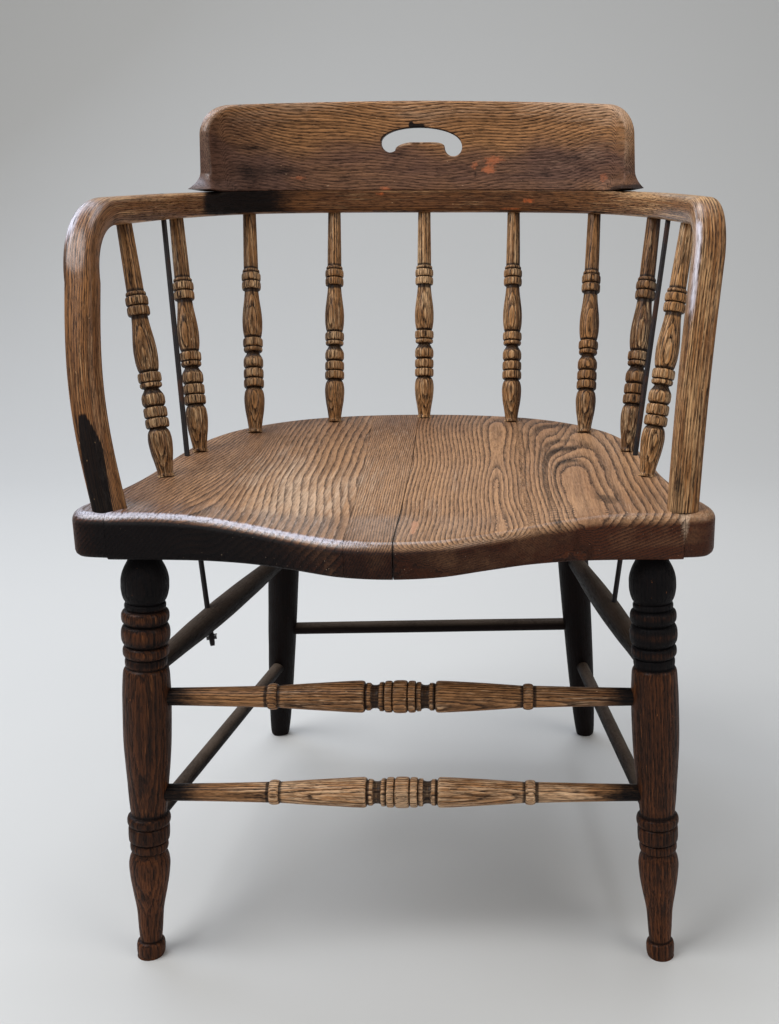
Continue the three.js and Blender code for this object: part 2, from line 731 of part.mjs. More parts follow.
// A stretcher between two legs: shoulders at the legs' widest radius, tenons that stop short of the axes
function stretcher(name, kind, legs, heights, spec) {
  const [start, end] = legs.map(({ piece }, i) => onAxis(piece, heights[i]));
  const along = end.clone().sub(start).normalize();
  return turnedPiece(
    name, kind,
    start.clone().addScaledVector(along, legs[0].radius),
    end.clone().addScaledVector(along, -legs[1].radius),
    { ...spec, footReach: legs[0].radius - legs[0].stop, headReach: legs[1].radius - legs[1].stop },
  );
}

function mirroredShares(halfShares) {
  const first = halfShares.map(([at, wide]) => [at / 2, wide]);
  return [...first, ...first.map(([at, wide]) => [1 - at, wide]).reverse()];
}

function stretcherPieces(legs) {
  const front = (side) => ({ piece: legs[side].front, radius: frontLegRadius, stop: frontTenonStop });
  const back = (side) => ({ piece: legs[side].back, radius: backLegRadius, stop: backTenonStop });
  const frontRails = ['upper', 'lower'].map((level) => {
    const height = frontStretcherHeights[level];
    const ends = [front('left'), front('right')];
    return stretcher(`front_stretcher_${level}`, 'stretcher', ends, [height, height], {
      shares: mirroredShares(frontStretcherHalfShares),
      radius: frontStretcherRadii[level],
      sideCount: frontStretcherSides,
    });
  });
  const sideRails = (level, heights, shares, radius) => Object.keys(sides).map((side) => stretcher(
    `side_stretcher_${level}_${side}`, 'dark', [front(side), back(side)], heights[side],
    { shares, radius, sideCount: stretcherSides },
  ));
  const backRail = stretcher(
    'back_stretcher', 'dark', [back('left'), back('right')], backStretcherHeights,
    { shares: plainRoundShares, radius: backStretcherRadius, sideCount: stretcherSides },
  );
  return {
    frontRails,
    sideUpper: sideRails('upper', sideUpperHeights, sideUpperProfileShares, sideUpperRadius),
    sideLower: sideRails('lower', sideLowerHeights, plainRoundShares, sideLowerRadius),
    backRail,
  };
}

// Tie rod: down from its head in the arm, through the seat, where it bends, and into the side stretcher
function rodLine(side, rail) {
  const sign = sides[side];
  const head = bowPlanCurve().getPointAt((1 + sign * rodBowShare[side]) / 2).setZ(railTop);
  const seatTopPoint = onSeat(rodSeatShares[side], sign, seatTop);
  const fall = seatTopPoint.clone().sub(head);
  const bend = seatTopPoint.clone().addScaledVector(fall, seatThickness / 2 / (railTop - seatTop));
  const crossing = rail.from.clone().lerp(rail.to, rodStretcherShare[side]);
  const along = crossing.clone().sub(bend).normalize();
  const end = crossing.clone().addScaledVector(along, rodTail[side]);
  return { head, bend, crossing, along, end, slant: along.angleTo(rail.along) };
}

function rodSolid({ head, bend, end }, radius, headRadius, overrun) {
  const upward = head.clone().sub(bend).normalize();
  const raised = head.clone().addScaledVector(upward, overrun);
  const headFoot = head.clone().addScaledVector(upward, rodRadius - radius - rodHeadThickness);
  const knee = new THREE.SphereGeometry(radius, rodSides, rodSides).translate(bend.x, bend.y, bend.z);
  return barSolid(raised, bend, radius, rodSides)
    .add(barSolid(bend, end, radius, rodSides))
    .add(toSolid(knee))
    .add(barSolid(headFoot, raised, headRadius, stretcherSides));
}

function rodMesh(side, line) {
  return named(`tie_rod_${side}`, toGeometry(rodSolid(line, rodRadius, rodHeadRadius, 0)), iron);
}

function rodHole({ head, bend, end, along }) {
  const deeper = { head, bend, end: end.clone().addScaledVector(along, fitGap) };
  return rodSolid(deeper, rodRadius + fitGap, rodHeadRadius + fitGap, cutOverrun);
}

// Washer and nut: rings on the rod, set under the stretcher one after the other
function rodRing(name, { crossing, along }, from, thickness, radius, sideCount) {
  const start = crossing.clone().addScaledVector(along, from);
  const end = start.clone().addScaledVector(along, thickness);
  const inner = (rodRadius + fitGap) / Math.cos(Math.PI / sideCount);
  const outline = [[inner, 0], [radius, 0], [radius, thickness], [inner, thickness], [inner, 0]];
  const points = outline.map(([r, z]) => new THREE.Vector2(r, z));
  const geometry = new THREE.LatheGeometry(points, sideCount).rotateX(Math.PI / 2);
  return alongLine(named(name, geometry, iron), start, end);
}

// The washer stands square to the slanting rod, so only its nearest edge meets the stretcher
function rodEndPieces(line) {
  const slant = Math.abs(Math.PI / 2 - line.slant);
  const washerAt = (sideUpperRadius + fitGap) / Math.cos(slant) + washerRadius * Math.tan(slant);
  const nutAt = washerAt + washerThickness + fitGap;
  return [
    rodRing('tie_rod_washer', line, washerAt, washerThickness, washerRadius, stretcherSides),
    rodRing('tie_rod_nut', line, nutAt, nutThickness, nutRadius, nutSides),
  ];
}

// Seat boards: the sawn blank with every socket, parted at the seams
function seatBoards(cutters) {
  const blank = cutters.reduce((rest, cutter) => rest.subtract(cutter), seatBlank());
  const edge = seatHalfWidth + seatLeftExtra + cutOverrun;
  const straight = (x) => [x / seatHalfWidth, x / seatHalfWidth];
  const seams = [
    straight(-edge), straight(-earSeam), leftSeamShares,
    rightSeamShares, straight(earSeam), straight(edge),
  ];
  const names = ['ear_left', 'board_left', 'board_centre', 'board_right', 'ear_right'];
  return names.map((name, i) => (
    named(`seat_${name}`, toGeometry(blank.intersect(boardRegion(seams[i], seams[i + 1]))), wood('seat'))
  ));
}

function floorSlab() {
  const reach = 2 * seatHalfWidth;
  const low = new THREE.Vector3(-reach, -reach, -2 * floorTrim);
  return boxSolid(low, new THREE.Vector3(reach, 2 * reach, 0));
}

// Assembly
const legs = { left: legPieces('left'), right: legPieces('right') };
const legList = Object.values(legs).flatMap(({ front, back }) => [front, back]);
const spindles = spindlePieces();
const rails = stretcherPieces(legs);
const railList = [...rails.frontRails, ...rails.sideUpper, ...rails.sideLower, rails.backRail];
const [leftRail, rightRail] = rails.sideUpper;
const rodLines = { left: rodLine('left', leftRail), right: rodLine('right', rightRail) };
const rodHoles = Object.values(rodLines).map(rodHole);
const armDowels = Object.keys(sides).map(armDowel);
const crestPins = crestDowels();
const seatDowels = [...boardDowels(), ...earDowels()];

const tenonSockets = (pieces, end) => pieces.map((piece) => tenonSocket(piece[end]));
const seatCutters = [
  ...tenonSockets(spindles, 'foot'), ...tenonSockets(legList, 'head'),
  ...[...seatDowels, ...armDowels].map(dowelSocket), ...rodHoles,
];
const bowCutters = [
  ...tenonSockets(spindles, 'head'), ...[...armDowels, ...crestPins].map(dowelSocket), ...rodHoles,
];
const legCutters = [floorSlab(), ...tenonSockets(railList, 'foot'), ...tenonSockets(railList, 'head')];

const chair = new THREE.Group();
chair.add(...seatBoards(seatCutters));
chair.add(armBow(bowCutters), crestRail(crestPins.map(dowelSocket)));
chair.add(...spindles.map((piece) => piece.mesh));
chair.add(...legList.map((piece) => carve(piece.mesh, legCutters)));
chair.add(...rails.frontRails.map((piece) => piece.mesh));
chair.add(...rails.sideUpper.map((piece) => carve(piece.mesh, rodHoles)));
chair.add(...rails.sideLower.map((piece) => piece.mesh), rails.backRail.mesh);
chair.add(...Object.entries(rodLines).map(([side, line]) => rodMesh(side, line)));
chair.add(...rodEndPieces(rodLines.left));
chair.add(...[...seatDowels, ...armDowels, ...crestPins].map(dowelMesh));

// The origin lies on the floor under the middle of the whole chair
const middle = new THREE.Box3().setFromObject(chair).getCenter(new THREE.Vector3());
chair.position.set(-middle.x, -middle.y, 0);
chair.updateMatrixWorld(true);

export default chair;
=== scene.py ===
import logging
import math
from dataclasses import dataclass, field
from enum import Enum
from typing import Callable, Sequence, Union

import bmesh
import bpy
import numpy as np
from mathutils import Matrix, Vector


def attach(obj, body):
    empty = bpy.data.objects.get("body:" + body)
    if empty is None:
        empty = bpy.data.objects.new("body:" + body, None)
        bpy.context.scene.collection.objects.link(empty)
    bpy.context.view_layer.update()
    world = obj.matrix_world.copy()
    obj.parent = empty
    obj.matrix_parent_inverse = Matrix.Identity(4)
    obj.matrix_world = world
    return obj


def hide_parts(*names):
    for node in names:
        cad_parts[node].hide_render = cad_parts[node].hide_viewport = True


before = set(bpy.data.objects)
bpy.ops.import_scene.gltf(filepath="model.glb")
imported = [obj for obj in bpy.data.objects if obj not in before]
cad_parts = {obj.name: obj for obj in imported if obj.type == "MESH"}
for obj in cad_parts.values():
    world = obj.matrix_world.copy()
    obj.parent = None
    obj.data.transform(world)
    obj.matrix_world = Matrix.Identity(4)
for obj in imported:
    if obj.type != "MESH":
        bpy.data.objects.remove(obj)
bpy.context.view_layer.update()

LOG = logging.getLogger("captains_chair")

Array = np.ndarray
Number = Union[float, Array]
Colour = tuple[float, float, float, float]
Place = tuple[float, float, float]
Knot = tuple[float, float]
Run = tuple[Knot, ...]
Faces = list[tuple[int, ...]]

MM = 0.001
# The chair is set out in millimetres about a place between its front feet. This moves it to its frame.
SETTING_OUT = np.array((2.510, -232.753, 0.0))
UP = np.array((0.0, 0.0, 1.0))


class Side(Enum):
    """The two sides of the chair, as seen from the front, with the sign of X there."""

    LEFT = -1
    RIGHT = 1

    @property
    def word(self) -> str:
        """Return the side's name in lower case."""
        return self.name.lower()


class Mark(Enum):
    """Values that a mesh carries on its points for its finish."""

    RING = "ring"
    GROOVE = "groove"
    WORN = "worn"
    SHADE = "shade"
    SOOT = "soot"
    FILLER = "filler"
    GLOSS = "gloss"
    # Painted sheen: a pale bluish colour laid on where lamps would glint and shine on the varnish.
    BLOOM = "bloom"


GRAIN = "grain"


def tone(red: int, green: int, blue: int) -> Colour:
    """Turn a colour as seen on a screen, 0 to 255, into linear light.

    Args:
        red: Red part.
        green: Green part.
        blue: Blue part.

    Returns:
        The colour for a shader's socket.
    """
    def part(value: int) -> float:
        """Return one part in linear light."""
        share = value / 255
        return share / 12.92 if share <= 0.04045 else ((share + 0.055) / 1.055) ** 2.4

    return part(red), part(green), part(blue), 1.0


def placed(points: Array) -> Array:
    """Return setting-out points, in millimetres, in the part's frame in metres."""
    return (np.asarray(points, float) + SETTING_OUT) * MM


def smooth(value: Number, low: float, high: float) -> Number:
    """Return the smooth step of a value between two limits, as 0 to 1."""
    share = np.clip((value - low) / (high - low), 0.0, 1.0)
    return share * share * (3.0 - 2.0 * share)


def lerp(start: Number, end: Number, share: Number) -> Number:
    """Return the value that lies at a share of the way from start to end."""
    return start + (end - start) * share


def ridge(value: Number, middle: Number, half: float, power: int = 2) -> Number:
    """Return 1 at the middle, falling to nothing on both sides of it."""
    return np.exp(-(((value - middle) / half) ** power))


def read(table: Sequence[Knot], at: Number) -> Number:
    """Return the value at a place, from a table of places and values with straight lines between."""
    return np.interp(at, *zip(*table))


def unit(vector: Array) -> Array:
    """Return a vector of the same direction and of length 1."""
    return vector / np.linalg.norm(vector)


def units(vectors: Array) -> Array:
    """Return vectors of the same directions, each of length 1."""
    return vectors / np.linalg.norm(vectors, axis=-1, keepdims=True)


@dataclass(frozen=True)
class Spot:
    """A soft oval stain: its middle, its half widths, its strength and how steeply it ends."""

    x: float
    y: float
    wide: float
    tall: float
    size: float = 1.0
    powers: tuple[int, int] = (2, 2)

    def over(self, x: Array, y: Array) -> Array:
        """Return its strength at places."""
        across, along = (x - self.x) / self.wide, (y - self.y) / self.tall
        return self.size * np.exp(-(across ** self.powers[0]) - along ** self.powers[1])


def spotted(spots: Sequence[Spot], x: Array, y: Array) -> Array:
    """Return the strength of several spots at places."""
    return sum(spot.over(x, y) for spot in spots)


# -------------------------------------------------------------------------------------------------
# Shader maths


Value = Union["Field", float, tuple]


class Field:
    """A socket of a shader graph that takes part in arithmetic."""

    def __init__(self, graph: "Graph", socket: bpy.types.NodeSocket) -> None:
        """Keep the graph and the socket."""
        self.graph = graph
        self.socket = socket

    def _math(self, operation: str, *values: Value) -> "Field":
        """Return a Math node's result on some values."""
        return self.graph.node("ShaderNodeMath", {"operation": operation}, dict(enumerate(values)))

    def __add__(self, other: Value) -> "Field":
        """Add."""
        return self._math("ADD", self, other)

    def __radd__(self, other: Value) -> "Field":
        """Add, reflected."""
        return self._math("ADD", other, self)

    def __sub__(self, other: Value) -> "Field":
        """Subtract."""
        return self._math("SUBTRACT", self, other)

    def __rsub__(self, other: Value) -> "Field":
        """Subtract, reflected."""
        return self._math("SUBTRACT", other, self)

    def __mul__(self, other: Value) -> "Field":
        """Multiply."""
        return self._math("MULTIPLY", self, other)

    def __rmul__(self, other: Value) -> "Field":
        """Multiply, reflected."""
        return self._math("MULTIPLY", other, self)

    def __pow__(self, other: Value) -> "Field":
        """Raise to a power."""
        return self._math("POWER", self, other)

    def __rpow__(self, other: Value) -> "Field":
        """Raise to a power, reflected."""
        return self._math("POWER", other, self)

    def fraction(self) -> "Field":
        """Return the part after the point."""
        return self._math("FRACT", self)

    def larger(self, other: Value) -> "Field":
        """Return the larger of two values."""
        return self._math("MAXIMUM", self, other)

    def clamped(self) -> "Field":
        """Return the value held between 0 and 1."""
        return self.step(0.0, 1.0, "LINEAR")

    def step(self, low: float, high: float, interpolation: str = "SMOOTHSTEP") -> "Field":
        """Return 0 below low, 1 above high and a ramp between them.

        Args:
            low: Value that gives 0.
            high: Value that gives 1.
            interpolation: The shape of the ramp.

        Returns:
            The ramp.
        """
        return self.graph.node(
            "ShaderNodeMapRange", {"interpolation_type": interpolation, "clamp": True},
            {"Value": self, "From Min": low, "From Max": high, "To Min": 0.0, "To Max": 1.0},
        )


@dataclass(frozen=True)
class Noise:
    """One layer of noise: its features per metre along each axis, its finer octaves and their weight."""

    scale: Place
    detail: float = 2.0
    rough: float = 0.5


DRIFT = Noise((22.0, 22.0, 5.0))
RAGGED = Noise((240.0, 240.0, 38.0), 3.0, 0.6)
FINE_PORES = Noise((1500.0, 1500.0, 110.0), 2.0, 0.6)
FIBRE = Noise((560.0, 560.0, 15.0), 3.0, 0.65)
PATCHES = Noise((26.0, 26.0, 9.0), 3.0, 0.6)
STREAKS = Noise((330.0, 330.0, 7.0), 2.0, 0.6)
SPECKLE = Noise((420.0, 420.0, 240.0), 3.0, 0.7)
CHIPS = Noise((520.0, 520.0, 160.0))
IRON_BROAD = Noise((60.0, 60.0, 25.0), 3.0, 0.6)
IRON_FINE = Noise((900.0, 900.0, 500.0), 3.0, 0.65)
DOWEL_LINES = Noise((160.0, 900.0, 900.0), 3.0, 0.6)


class Graph:
    """The nodes of one material."""

    def __init__(self, name: str) -> None:
        """Make an empty material with nodes.

        Args:
            name: The material's name.
        """
        self.material = bpy.data.materials.new(name)
        self.material.use_nodes = True
        self.tree = self.material.node_tree
        self.tree.nodes.clear()

    def node(self, kind: str, settings: dict[str, object], sockets: dict[Union[str, int], Value],
             output: Union[str, int] = 0) -> Field:
        """Add a node.

        Args:
            kind: The node's type.
            settings: The node's own settings, which are set first.
            sockets: Values or links by input name or number.
            output: Name or number of the output that is wanted.

        Returns:
            That output.
        """
        made = self.tree.nodes.new(kind)
        for key, value in settings.items():
            setattr(made, key, value)
        for key, value in sockets.items():
            if isinstance(value, Field):
                self.tree.links.new(value.socket, made.inputs[key])
            else:
                made.inputs[key].default_value = value
        return Field(self, made.outputs[output])

    def mark(self, mark: Mark) -> Field:
        """Return one of the values that the mesh carries."""
        return self.node("ShaderNodeAttribute", {"attribute_name": mark.value}, {}, "Fac")

    def grain(self) -> Field:
        """Return the place in the timber, in metres, with Z along the fibres."""
        return self.node("ShaderNodeAttribute", {"attribute_name": GRAIN}, {}, "Vector")

    def place(self) -> Field:
        """Return the place on the object, in metres."""
        return self.node("ShaderNodeTexCoord", {}, {}, "Object")

    def noise(self, place: Field, layer: Noise) -> Field:
        """Return noise of 0 to 1.

        Args:
            place: Vector to read it at.
            layer: Its scale and detail.

        Returns:
            The noise.
        """
        scaled = self.node(
            "ShaderNodeVectorMath", {"operation": "MULTIPLY"}, {0: place, 1: layer.scale})
        sockets = {"Vector": scaled, "Scale": 1.0, "Detail": layer.detail, "Roughness": layer.rough}
        return self.node("ShaderNodeTexNoise", {}, sockets)

    def mix(self, first: Value, second: Value, factor: Value) -> Field:
        """Return a colour between two colours."""
        settings = {"data_type": "RGBA", "clamp_factor": True}
        return self.node("ShaderNodeMix", settings, {0: factor, 6: first, 7: second}, 2)

    def finish(self, sockets: dict[str, Value], height: Field, distance: float) -> bpy.types.Material:
        """Close the graph with a shader.

        Args:
            sockets: Values and links of the shader.
            height: Relief, 0 to 1.
            distance: Height of the relief in metres.

        Returns:
            The finished material.
        """
        relief = {"Strength": 1.0, "Distance": distance, "Height": height}
        bump = self.node("ShaderNodeBump", {}, relief)
        self.close(self.node("ShaderNodeBsdfPrincipled", {}, {**sockets, "Normal": bump}))
        return self.material

    def close(self, shader: Field) -> None:
        """Link a shader to the material's output."""
        output = self.tree.nodes.new("ShaderNodeOutputMaterial")
        self.tree.links.new(shader.socket, output.inputs["Surface"])


@dataclass(frozen=True)
class WoodFinish:
    """A ring-porous wood under an old varnish, worn and grimed, with painted shade and a painted sheen
    laid into its colour where its marks ask for them.
    """

    name: str
    slot: str
    pale: Colour
    deep: Colour
    vein: Colour
    worn: Colour
    grime: Colour = tone(24, 15, 12)
    soot: Colour = tone(11, 10, 12)
    filler: Colour = tone(196, 138, 100)
    # Colour of the painted sheen and the painted highlights.
    bloom: Colour = tone(214, 212, 226)
    vein_strength: float = 0.8
    vein_fall: float = 1.5
    vein_hiding: float = 0.0
    wobble: float = 1.1
    jitter: float = 0.35
    pore_strength: float = 0.75
    pore_base: float = 0.3
    pore_scale: float = 620.0
    pore_run: float = 80.0
    fibre_wear: float = 1.2
    streak: float = 0.35
    wear: float = 0.6
    roughness: float = 0.46
    relief: float = 0.00045
    coat: float = 0.06
    coat_roughness: float = 0.24
    specular: float = 0.1
    dust: float = 0.0
    dust_colour: Colour = tone(122, 106, 92)
    grime_strength: float = 0.86
    soot_strength: float = 0.96
    chip_strength: float = 0.5
    bloom_strength: float = 0.8
    filler_strength: float = 0.85
    early_wood: Knot = (0.0, 0.12)
    dash_limits: Knot = (0.5, 0.62)
    pore_limits: Knot = (0.5, 0.66)
    streak_limits: Knot = (0.35, 0.75)
    wear_limits: Knot = (0.25, 0.95)
    groove_limits: Knot = (0.25, 0.85)
    soot_limits: Knot = (0.2, 0.8)
    chip_limits: Knot = (0.74, 0.78)
    bloom_limits: Knot = (0.2, 0.9)
    filler_limits: Knot = (0.35, 0.65)
    facing_up: Knot = (0.15, 0.95)
    dust_limits: Knot = (0.35, 0.95)

    def _dusted(self, graph: Graph, patchy: Field, speckle: Field) -> Field:
        """Return how much dust lies on what faces up.

        Args:
            graph: The material's nodes.
            patchy: Broad noise.
            speckle: Fine noise.

        Returns:
            The share of dust.
        """
        normal = graph.node("ShaderNodeNewGeometry", {}, {}, "Normal")
        top = graph.node("ShaderNodeSeparateXYZ", {}, {0: normal}, 2).step(*self.facing_up)
        return top * (patchy + speckle * 0.5).step(*self.dust_limits) * self.dust

    def material(self) -> bpy.types.Material:
        """Build the wood's shader.

        Returns:
            The material.
        """
        graph = Graph(self.name)
        grain = graph.grain()
        drift, ragged = graph.noise(grain, DRIFT) - 0.5, graph.noise(grain, RAGGED) - 0.5
        rings = graph.mark(Mark.RING) + drift * (2 * self.wobble) + ragged * (2 * self.jitter)
        phase = rings.fraction()
        dark = graph.mark(Mark.SHADE).clamped()
        vein = (1.0 - phase) ** (self.vein_fall - dark * (self.vein_fall * 0.5))
        vein = vein * phase.step(*self.early_wood) * (1.0 - dark * self.vein_hiding)
        coarse = Noise((self.pore_scale, self.pore_scale, self.pore_run), 2.0, 0.6)
        dashes = graph.noise(grain, coarse).step(*self.dash_limits)
        pores = dashes.larger(graph.noise(grain, FINE_PORES).step(*self.pore_limits))
        pores = pores * (vein * 0.85 + self.pore_base)
        fibre, patchy = graph.noise(grain, FIBRE), graph.noise(grain, PATCHES)
        streaks = graph.noise(grain, STREAKS).step(*self.streak_limits)
        speckle = graph.noise(grain, SPECKLE)
        chips = graph.noise(grain, CHIPS).step(*self.chip_limits)
        shade = (graph.mark(Mark.SHADE) + (patchy - 0.5) * 1.3).clamped()
        bright = graph.mark(Mark.WORN) + (patchy - 0.5) * 1.2 + (fibre - 0.5) * self.fibre_wear
        bright = bright.step(*self.wear_limits) * (1.0 - vein * 0.75) * self.wear
        grime = (graph.mark(Mark.GROOVE) + (speckle - 0.5) * 0.7).step(*self.groove_limits)
        soot = graph.mark(Mark.SOOT) + (speckle - 0.5) * 0.4 + (patchy - 0.5) * 0.3
        soot = soot.step(*self.soot_limits)
        # Painted sheen: blend toward the pale bluish sheen colour where the mesh carries painted
        # highlights.
        bloom = (graph.mark(Mark.BLOOM) + (fibre - 0.5) * 0.7 - pores * 0.3).step(*self.bloom_limits)
        filler = (graph.mark(Mark.FILLER) + (speckle - 0.5) * 0.7).step(*self.filler_limits)
        colour = self.pale
        for stain, share in (
            (self.deep, shade), (self.vein, vein * self.vein_strength),
            (self.vein, streaks * self.streak), (self.worn, bright),
            (self.grime, pores * self.pore_strength),
            (self.grime, grime * self.grime_strength), (self.soot, soot * self.soot_strength),
            (self.worn, chips * self.chip_strength), (self.bloom, bloom * self.bloom_strength),
            (self.filler, filler * self.filler_strength),
        ):
            colour = graph.mix(colour, stain, share)
        rough = self.roughness + pores * 0.25 + (patchy - 0.5) * 0.2 + fibre * 0.1 - bright * 0.08
        height = 0.7 - vein * 0.3 - pores * 0.5 + fibre * 0.12 + speckle * 0.08
        if self.dust:
            settled = self._dusted(graph, patchy, speckle)
            colour = graph.mix(colour, self.dust_colour, settled)
            rough = rough + settled * 0.2
        coat = graph.mark(Mark.GLOSS) * (1.25 - pores * 0.6) + (1.0 - soot) * self.coat
        sockets = {
            "Base Color": colour, "Roughness": rough, "Coat Weight": coat.clamped(),
            "Coat Roughness": self.coat_roughness, "Specular IOR Level": self.specular,
        }
        return graph.finish(sockets, height, self.relief)


@dataclass(frozen=True)
class IronFinish:
    """Dark iron with a skin of old paint and a little rust."""

    name: str = "dark_iron"
    slot: str = "iron"
    bare: Colour = tone(66, 60, 58)
    skin: Colour = tone(38, 34, 35)
    rust: Colour = tone(92, 58, 40)
    rust_limits: Knot = (0.52, 0.7)
    bare_limits: Knot = (0.5, 0.8)
    metallic: float = 0.55
    relief: float = 0.00025

    def material(self) -> bpy.types.Material:
        """Build the iron's shader.

        Returns:
            The material.
        """
        graph = Graph(self.name)
        place = graph.place()
        fine = graph.noise(place, IRON_FINE)
        rust = (graph.noise(place, IRON_BROAD) + (fine - 0.5) * 0.5).step(*self.rust_limits)
        colour = graph.mix(self.skin, self.bare, fine.step(*self.bare_limits) * 0.6)
        sockets = {
            "Base Color": graph.mix(colour, self.rust, rust * 0.55), "Metallic": self.metallic,
            "Roughness": 0.42 + rust * 0.3 + fine * 0.15,
        }
        return graph.finish(sockets, fine, self.relief)


@dataclass(frozen=True)
class DowelFinish:
    """Bare wood of the hidden dowels."""

    name: str = "bare_dowel"
    slot: str = "dowel_wood"
    pale: Colour = tone(196, 164, 122)
    deep: Colour = tone(160, 122, 82)
    line_limits: Knot = (0.35, 0.7)
    relief: float = 0.0002

    def material(self) -> bpy.types.Material:
        """Build the dowels' shader.

        Returns:
            The material.
        """
        graph = Graph(self.name)
        lines = graph.noise(graph.place(), DOWEL_LINES)
        colour = graph.mix(self.pale, self.deep, lines.step(*self.line_limits))
        sockets = {"Base Color": colour, "Roughness": 0.55 + lines * 0.2}
        return graph.finish(sockets, lines, self.relief)


@dataclass(frozen=True)
class StageFinish:
    """Plain paper for the floor and the backdrop."""

    name: str = "pale_paper"
    paper: Colour = tone(207, 206, 203)
    roughness: float = 0.9
    specular: float = 0.1

    def material(self) -> bpy.types.Material:
        """Build the paper's shader.

        Returns:
            The material.
        """
        graph = Graph(self.name)
        sockets = {
            "Base Color": self.paper, "Roughness": self.roughness, "Specular IOR Level": self.specular}
        graph.close(graph.node("ShaderNodeBsdfPrincipled", {}, sockets))
        return graph.material


Finish = Union[WoodFinish, IronFinish, DowelFinish]

SEAT_FINISH = WoodFinish(
    "seat_ash", "seat_wood", pale=tone(190, 144, 104), deep=tone(92, 46, 22), vein=tone(54, 34, 26),
    worn=tone(232, 202, 172), vein_strength=0.95, pore_base=0.4, pore_strength=0.6, pore_run=36.0,
    wobble=0.3, jitter=0.24, vein_fall=2.2, streak=0.35, wear=0.6, roughness=0.4, relief=0.0008,
    coat=0.12, coat_roughness=0.27,
)
ARM_FINISH = WoodFinish(
    "arm_ash", "arm_wood", pale=tone(166, 112, 63), deep=tone(104, 68, 54), vein=tone(50, 26, 15),
    worn=tone(230, 184, 132), vein_strength=0.9, pore_base=0.5, wobble=0.4, jitter=0.5, streak=0.6,
    wear=0.75, fibre_wear=2.0, roughness=0.38, coat=0.1, coat_roughness=0.26, filler=tone(196, 100, 52),
)
CREST_FINISH = WoodFinish(
    "crest_ash", "crest_wood", pale=tone(190, 136, 88), deep=tone(124, 90, 74), vein=tone(44, 23, 13),
    worn=tone(230, 190, 154), vein_strength=0.95, vein_hiding=0.4, pore_base=0.45, wobble=0.5,
    jitter=0.45, vein_fall=1.3, streak=0.4, wear=0.6, roughness=0.44, coat=0.05, coat_roughness=0.3,
    filler=tone(178, 104, 68),
)
SPINDLE_FINISH = WoodFinish(
    "spindle_ash", "spindle_wood", pale=tone(198, 142, 88), deep=tone(62, 36, 28),
    vein=tone(42, 23, 14), worn=tone(244, 204, 156), vein_strength=0.95, pore_base=0.5,
    pore_strength=0.85, wobble=0.35, jitter=0.4, fibre_wear=2.0, streak=0.5, wear=0.85, roughness=0.4,
    coat=0.1,
)
LEG_FINISH = WoodFinish(
    "leg_ash", "leg_wood", pale=tone(112, 64, 34), deep=tone(44, 23, 13), vein=tone(22, 12, 8),
    worn=tone(170, 104, 56), vein_strength=0.75, pore_base=0.5, wobble=0.3, jitter=0.8, streak=0.8,
    wear=0.6, fibre_wear=2.2, roughness=0.44, coat=0.1,
)
STRETCHER_FINISH = WoodFinish(
    "stretcher_ash", "stretcher_wood", pale=tone(200, 144, 94), deep=tone(88, 50, 28),
    vein=tone(40, 20, 10), worn=tone(250, 210, 168), vein_strength=1.0, pore_base=0.5, wobble=0.3,
    jitter=0.5, fibre_wear=2.2, streak=0.5, wear=0.85, roughness=0.38, coat=0.14, coat_roughness=0.3,
)
DARK_FINISH = WoodFinish(
    "dark_ash", "dark_wood", pale=tone(36, 23, 20), deep=tone(14, 9, 9), vein=tone(8, 6, 6),
    worn=tone(74, 50, 38), vein_strength=0.6, wobble=0.3, jitter=0.3, streak=0.4, wear=0.3,
    roughness=0.5, coat=0.03, specular=0.06, dust=0.6,
)
IRON_FINISH = IronFinish()
DOWEL_FINISH = DowelFinish()


# -------------------------------------------------------------------------------------------------
# Curves and meshes


def rounded(values: Sequence[float], at: Array, places: Array) -> Array:
    """Read a smooth curve that never overshoots its knots.

    Args:
        values: Values at the knots.
        at: Places of the knots, rising.
        places: Where the curve is read.

    Returns:
        The curve there.
    """
    values = np.asarray(values, float)
    steps = np.diff(at)
    slopes = np.diff(values) / steps
    tangents = np.zeros(len(at))
    same = slopes[:-1] * slopes[1:] > 0
    near, far = 2 * steps[1:] + steps[:-1], steps[1:] + 2 * steps[:-1]
    with np.errstate(divide="ignore", invalid="ignore"):
        inner = (near + far) / (near / slopes[:-1] + far / slopes[1:])
    tangents[1:-1] = np.where(same, np.nan_to_num(inner), 0.0)
    tangents[0], tangents[-1] = slopes[0], slopes[-1]
    which = np.clip(np.searchsorted(at, places, side="right") - 1, 0, len(steps) - 1)
    step = steps[which]
    share = (places - at[which]) / step
    square, cube = share ** 2, share ** 3
    return (
        values[which] * (2 * cube - 3 * square + 1) + tangents[which] * step * (cube - 2 * square + share)
        + values[which + 1] * (3 * square - 2 * cube) + tangents[which + 1] * step * (cube - square)
    )


def arc(start: Knot, pull: Knot, end: Knot, share: Array) -> tuple[Array, Array]:
    """Return the places along a curve that is drawn toward a third point."""
    weights = np.stack(((1 - share) ** 2, 2 * (1 - share) * share, share ** 2))
    return tuple(np.array((start, pull, end)).T @ weights)


def bead(start: float, end: float, low: float, high: float, fullness: float = 4.0) -> Run:
    """Return the knots of a half-round bead.

    Args:
        start: Where it starts, as a share of the length.
        end: Where it ends.
        low: Radius at both ends, as a share of the widest.
        high: Radius at its middle.
        fullness: 2 for a round one, and more for one that is flatter on top.

    Returns:
        The knots.
    """
    spread = (-1.0, -0.93, -0.75, -0.4, 0.0, 0.4, 0.75, 0.93, 1.0)
    middle, half = (start + end) / 2, (end - start) / 2
    return tuple(
        (middle + half * place, low + (high - low) * math.sqrt(1 - abs(place) ** fullness))
        for place in spread
    )


def mirrored_runs(runs: Sequence[Run]) -> tuple[Run, ...]:
    """Return runs in the other order, so that a half profile becomes a whole one."""
    return tuple(tuple((1 - at, wide) for at, wide in reversed(run)) for run in reversed(runs))


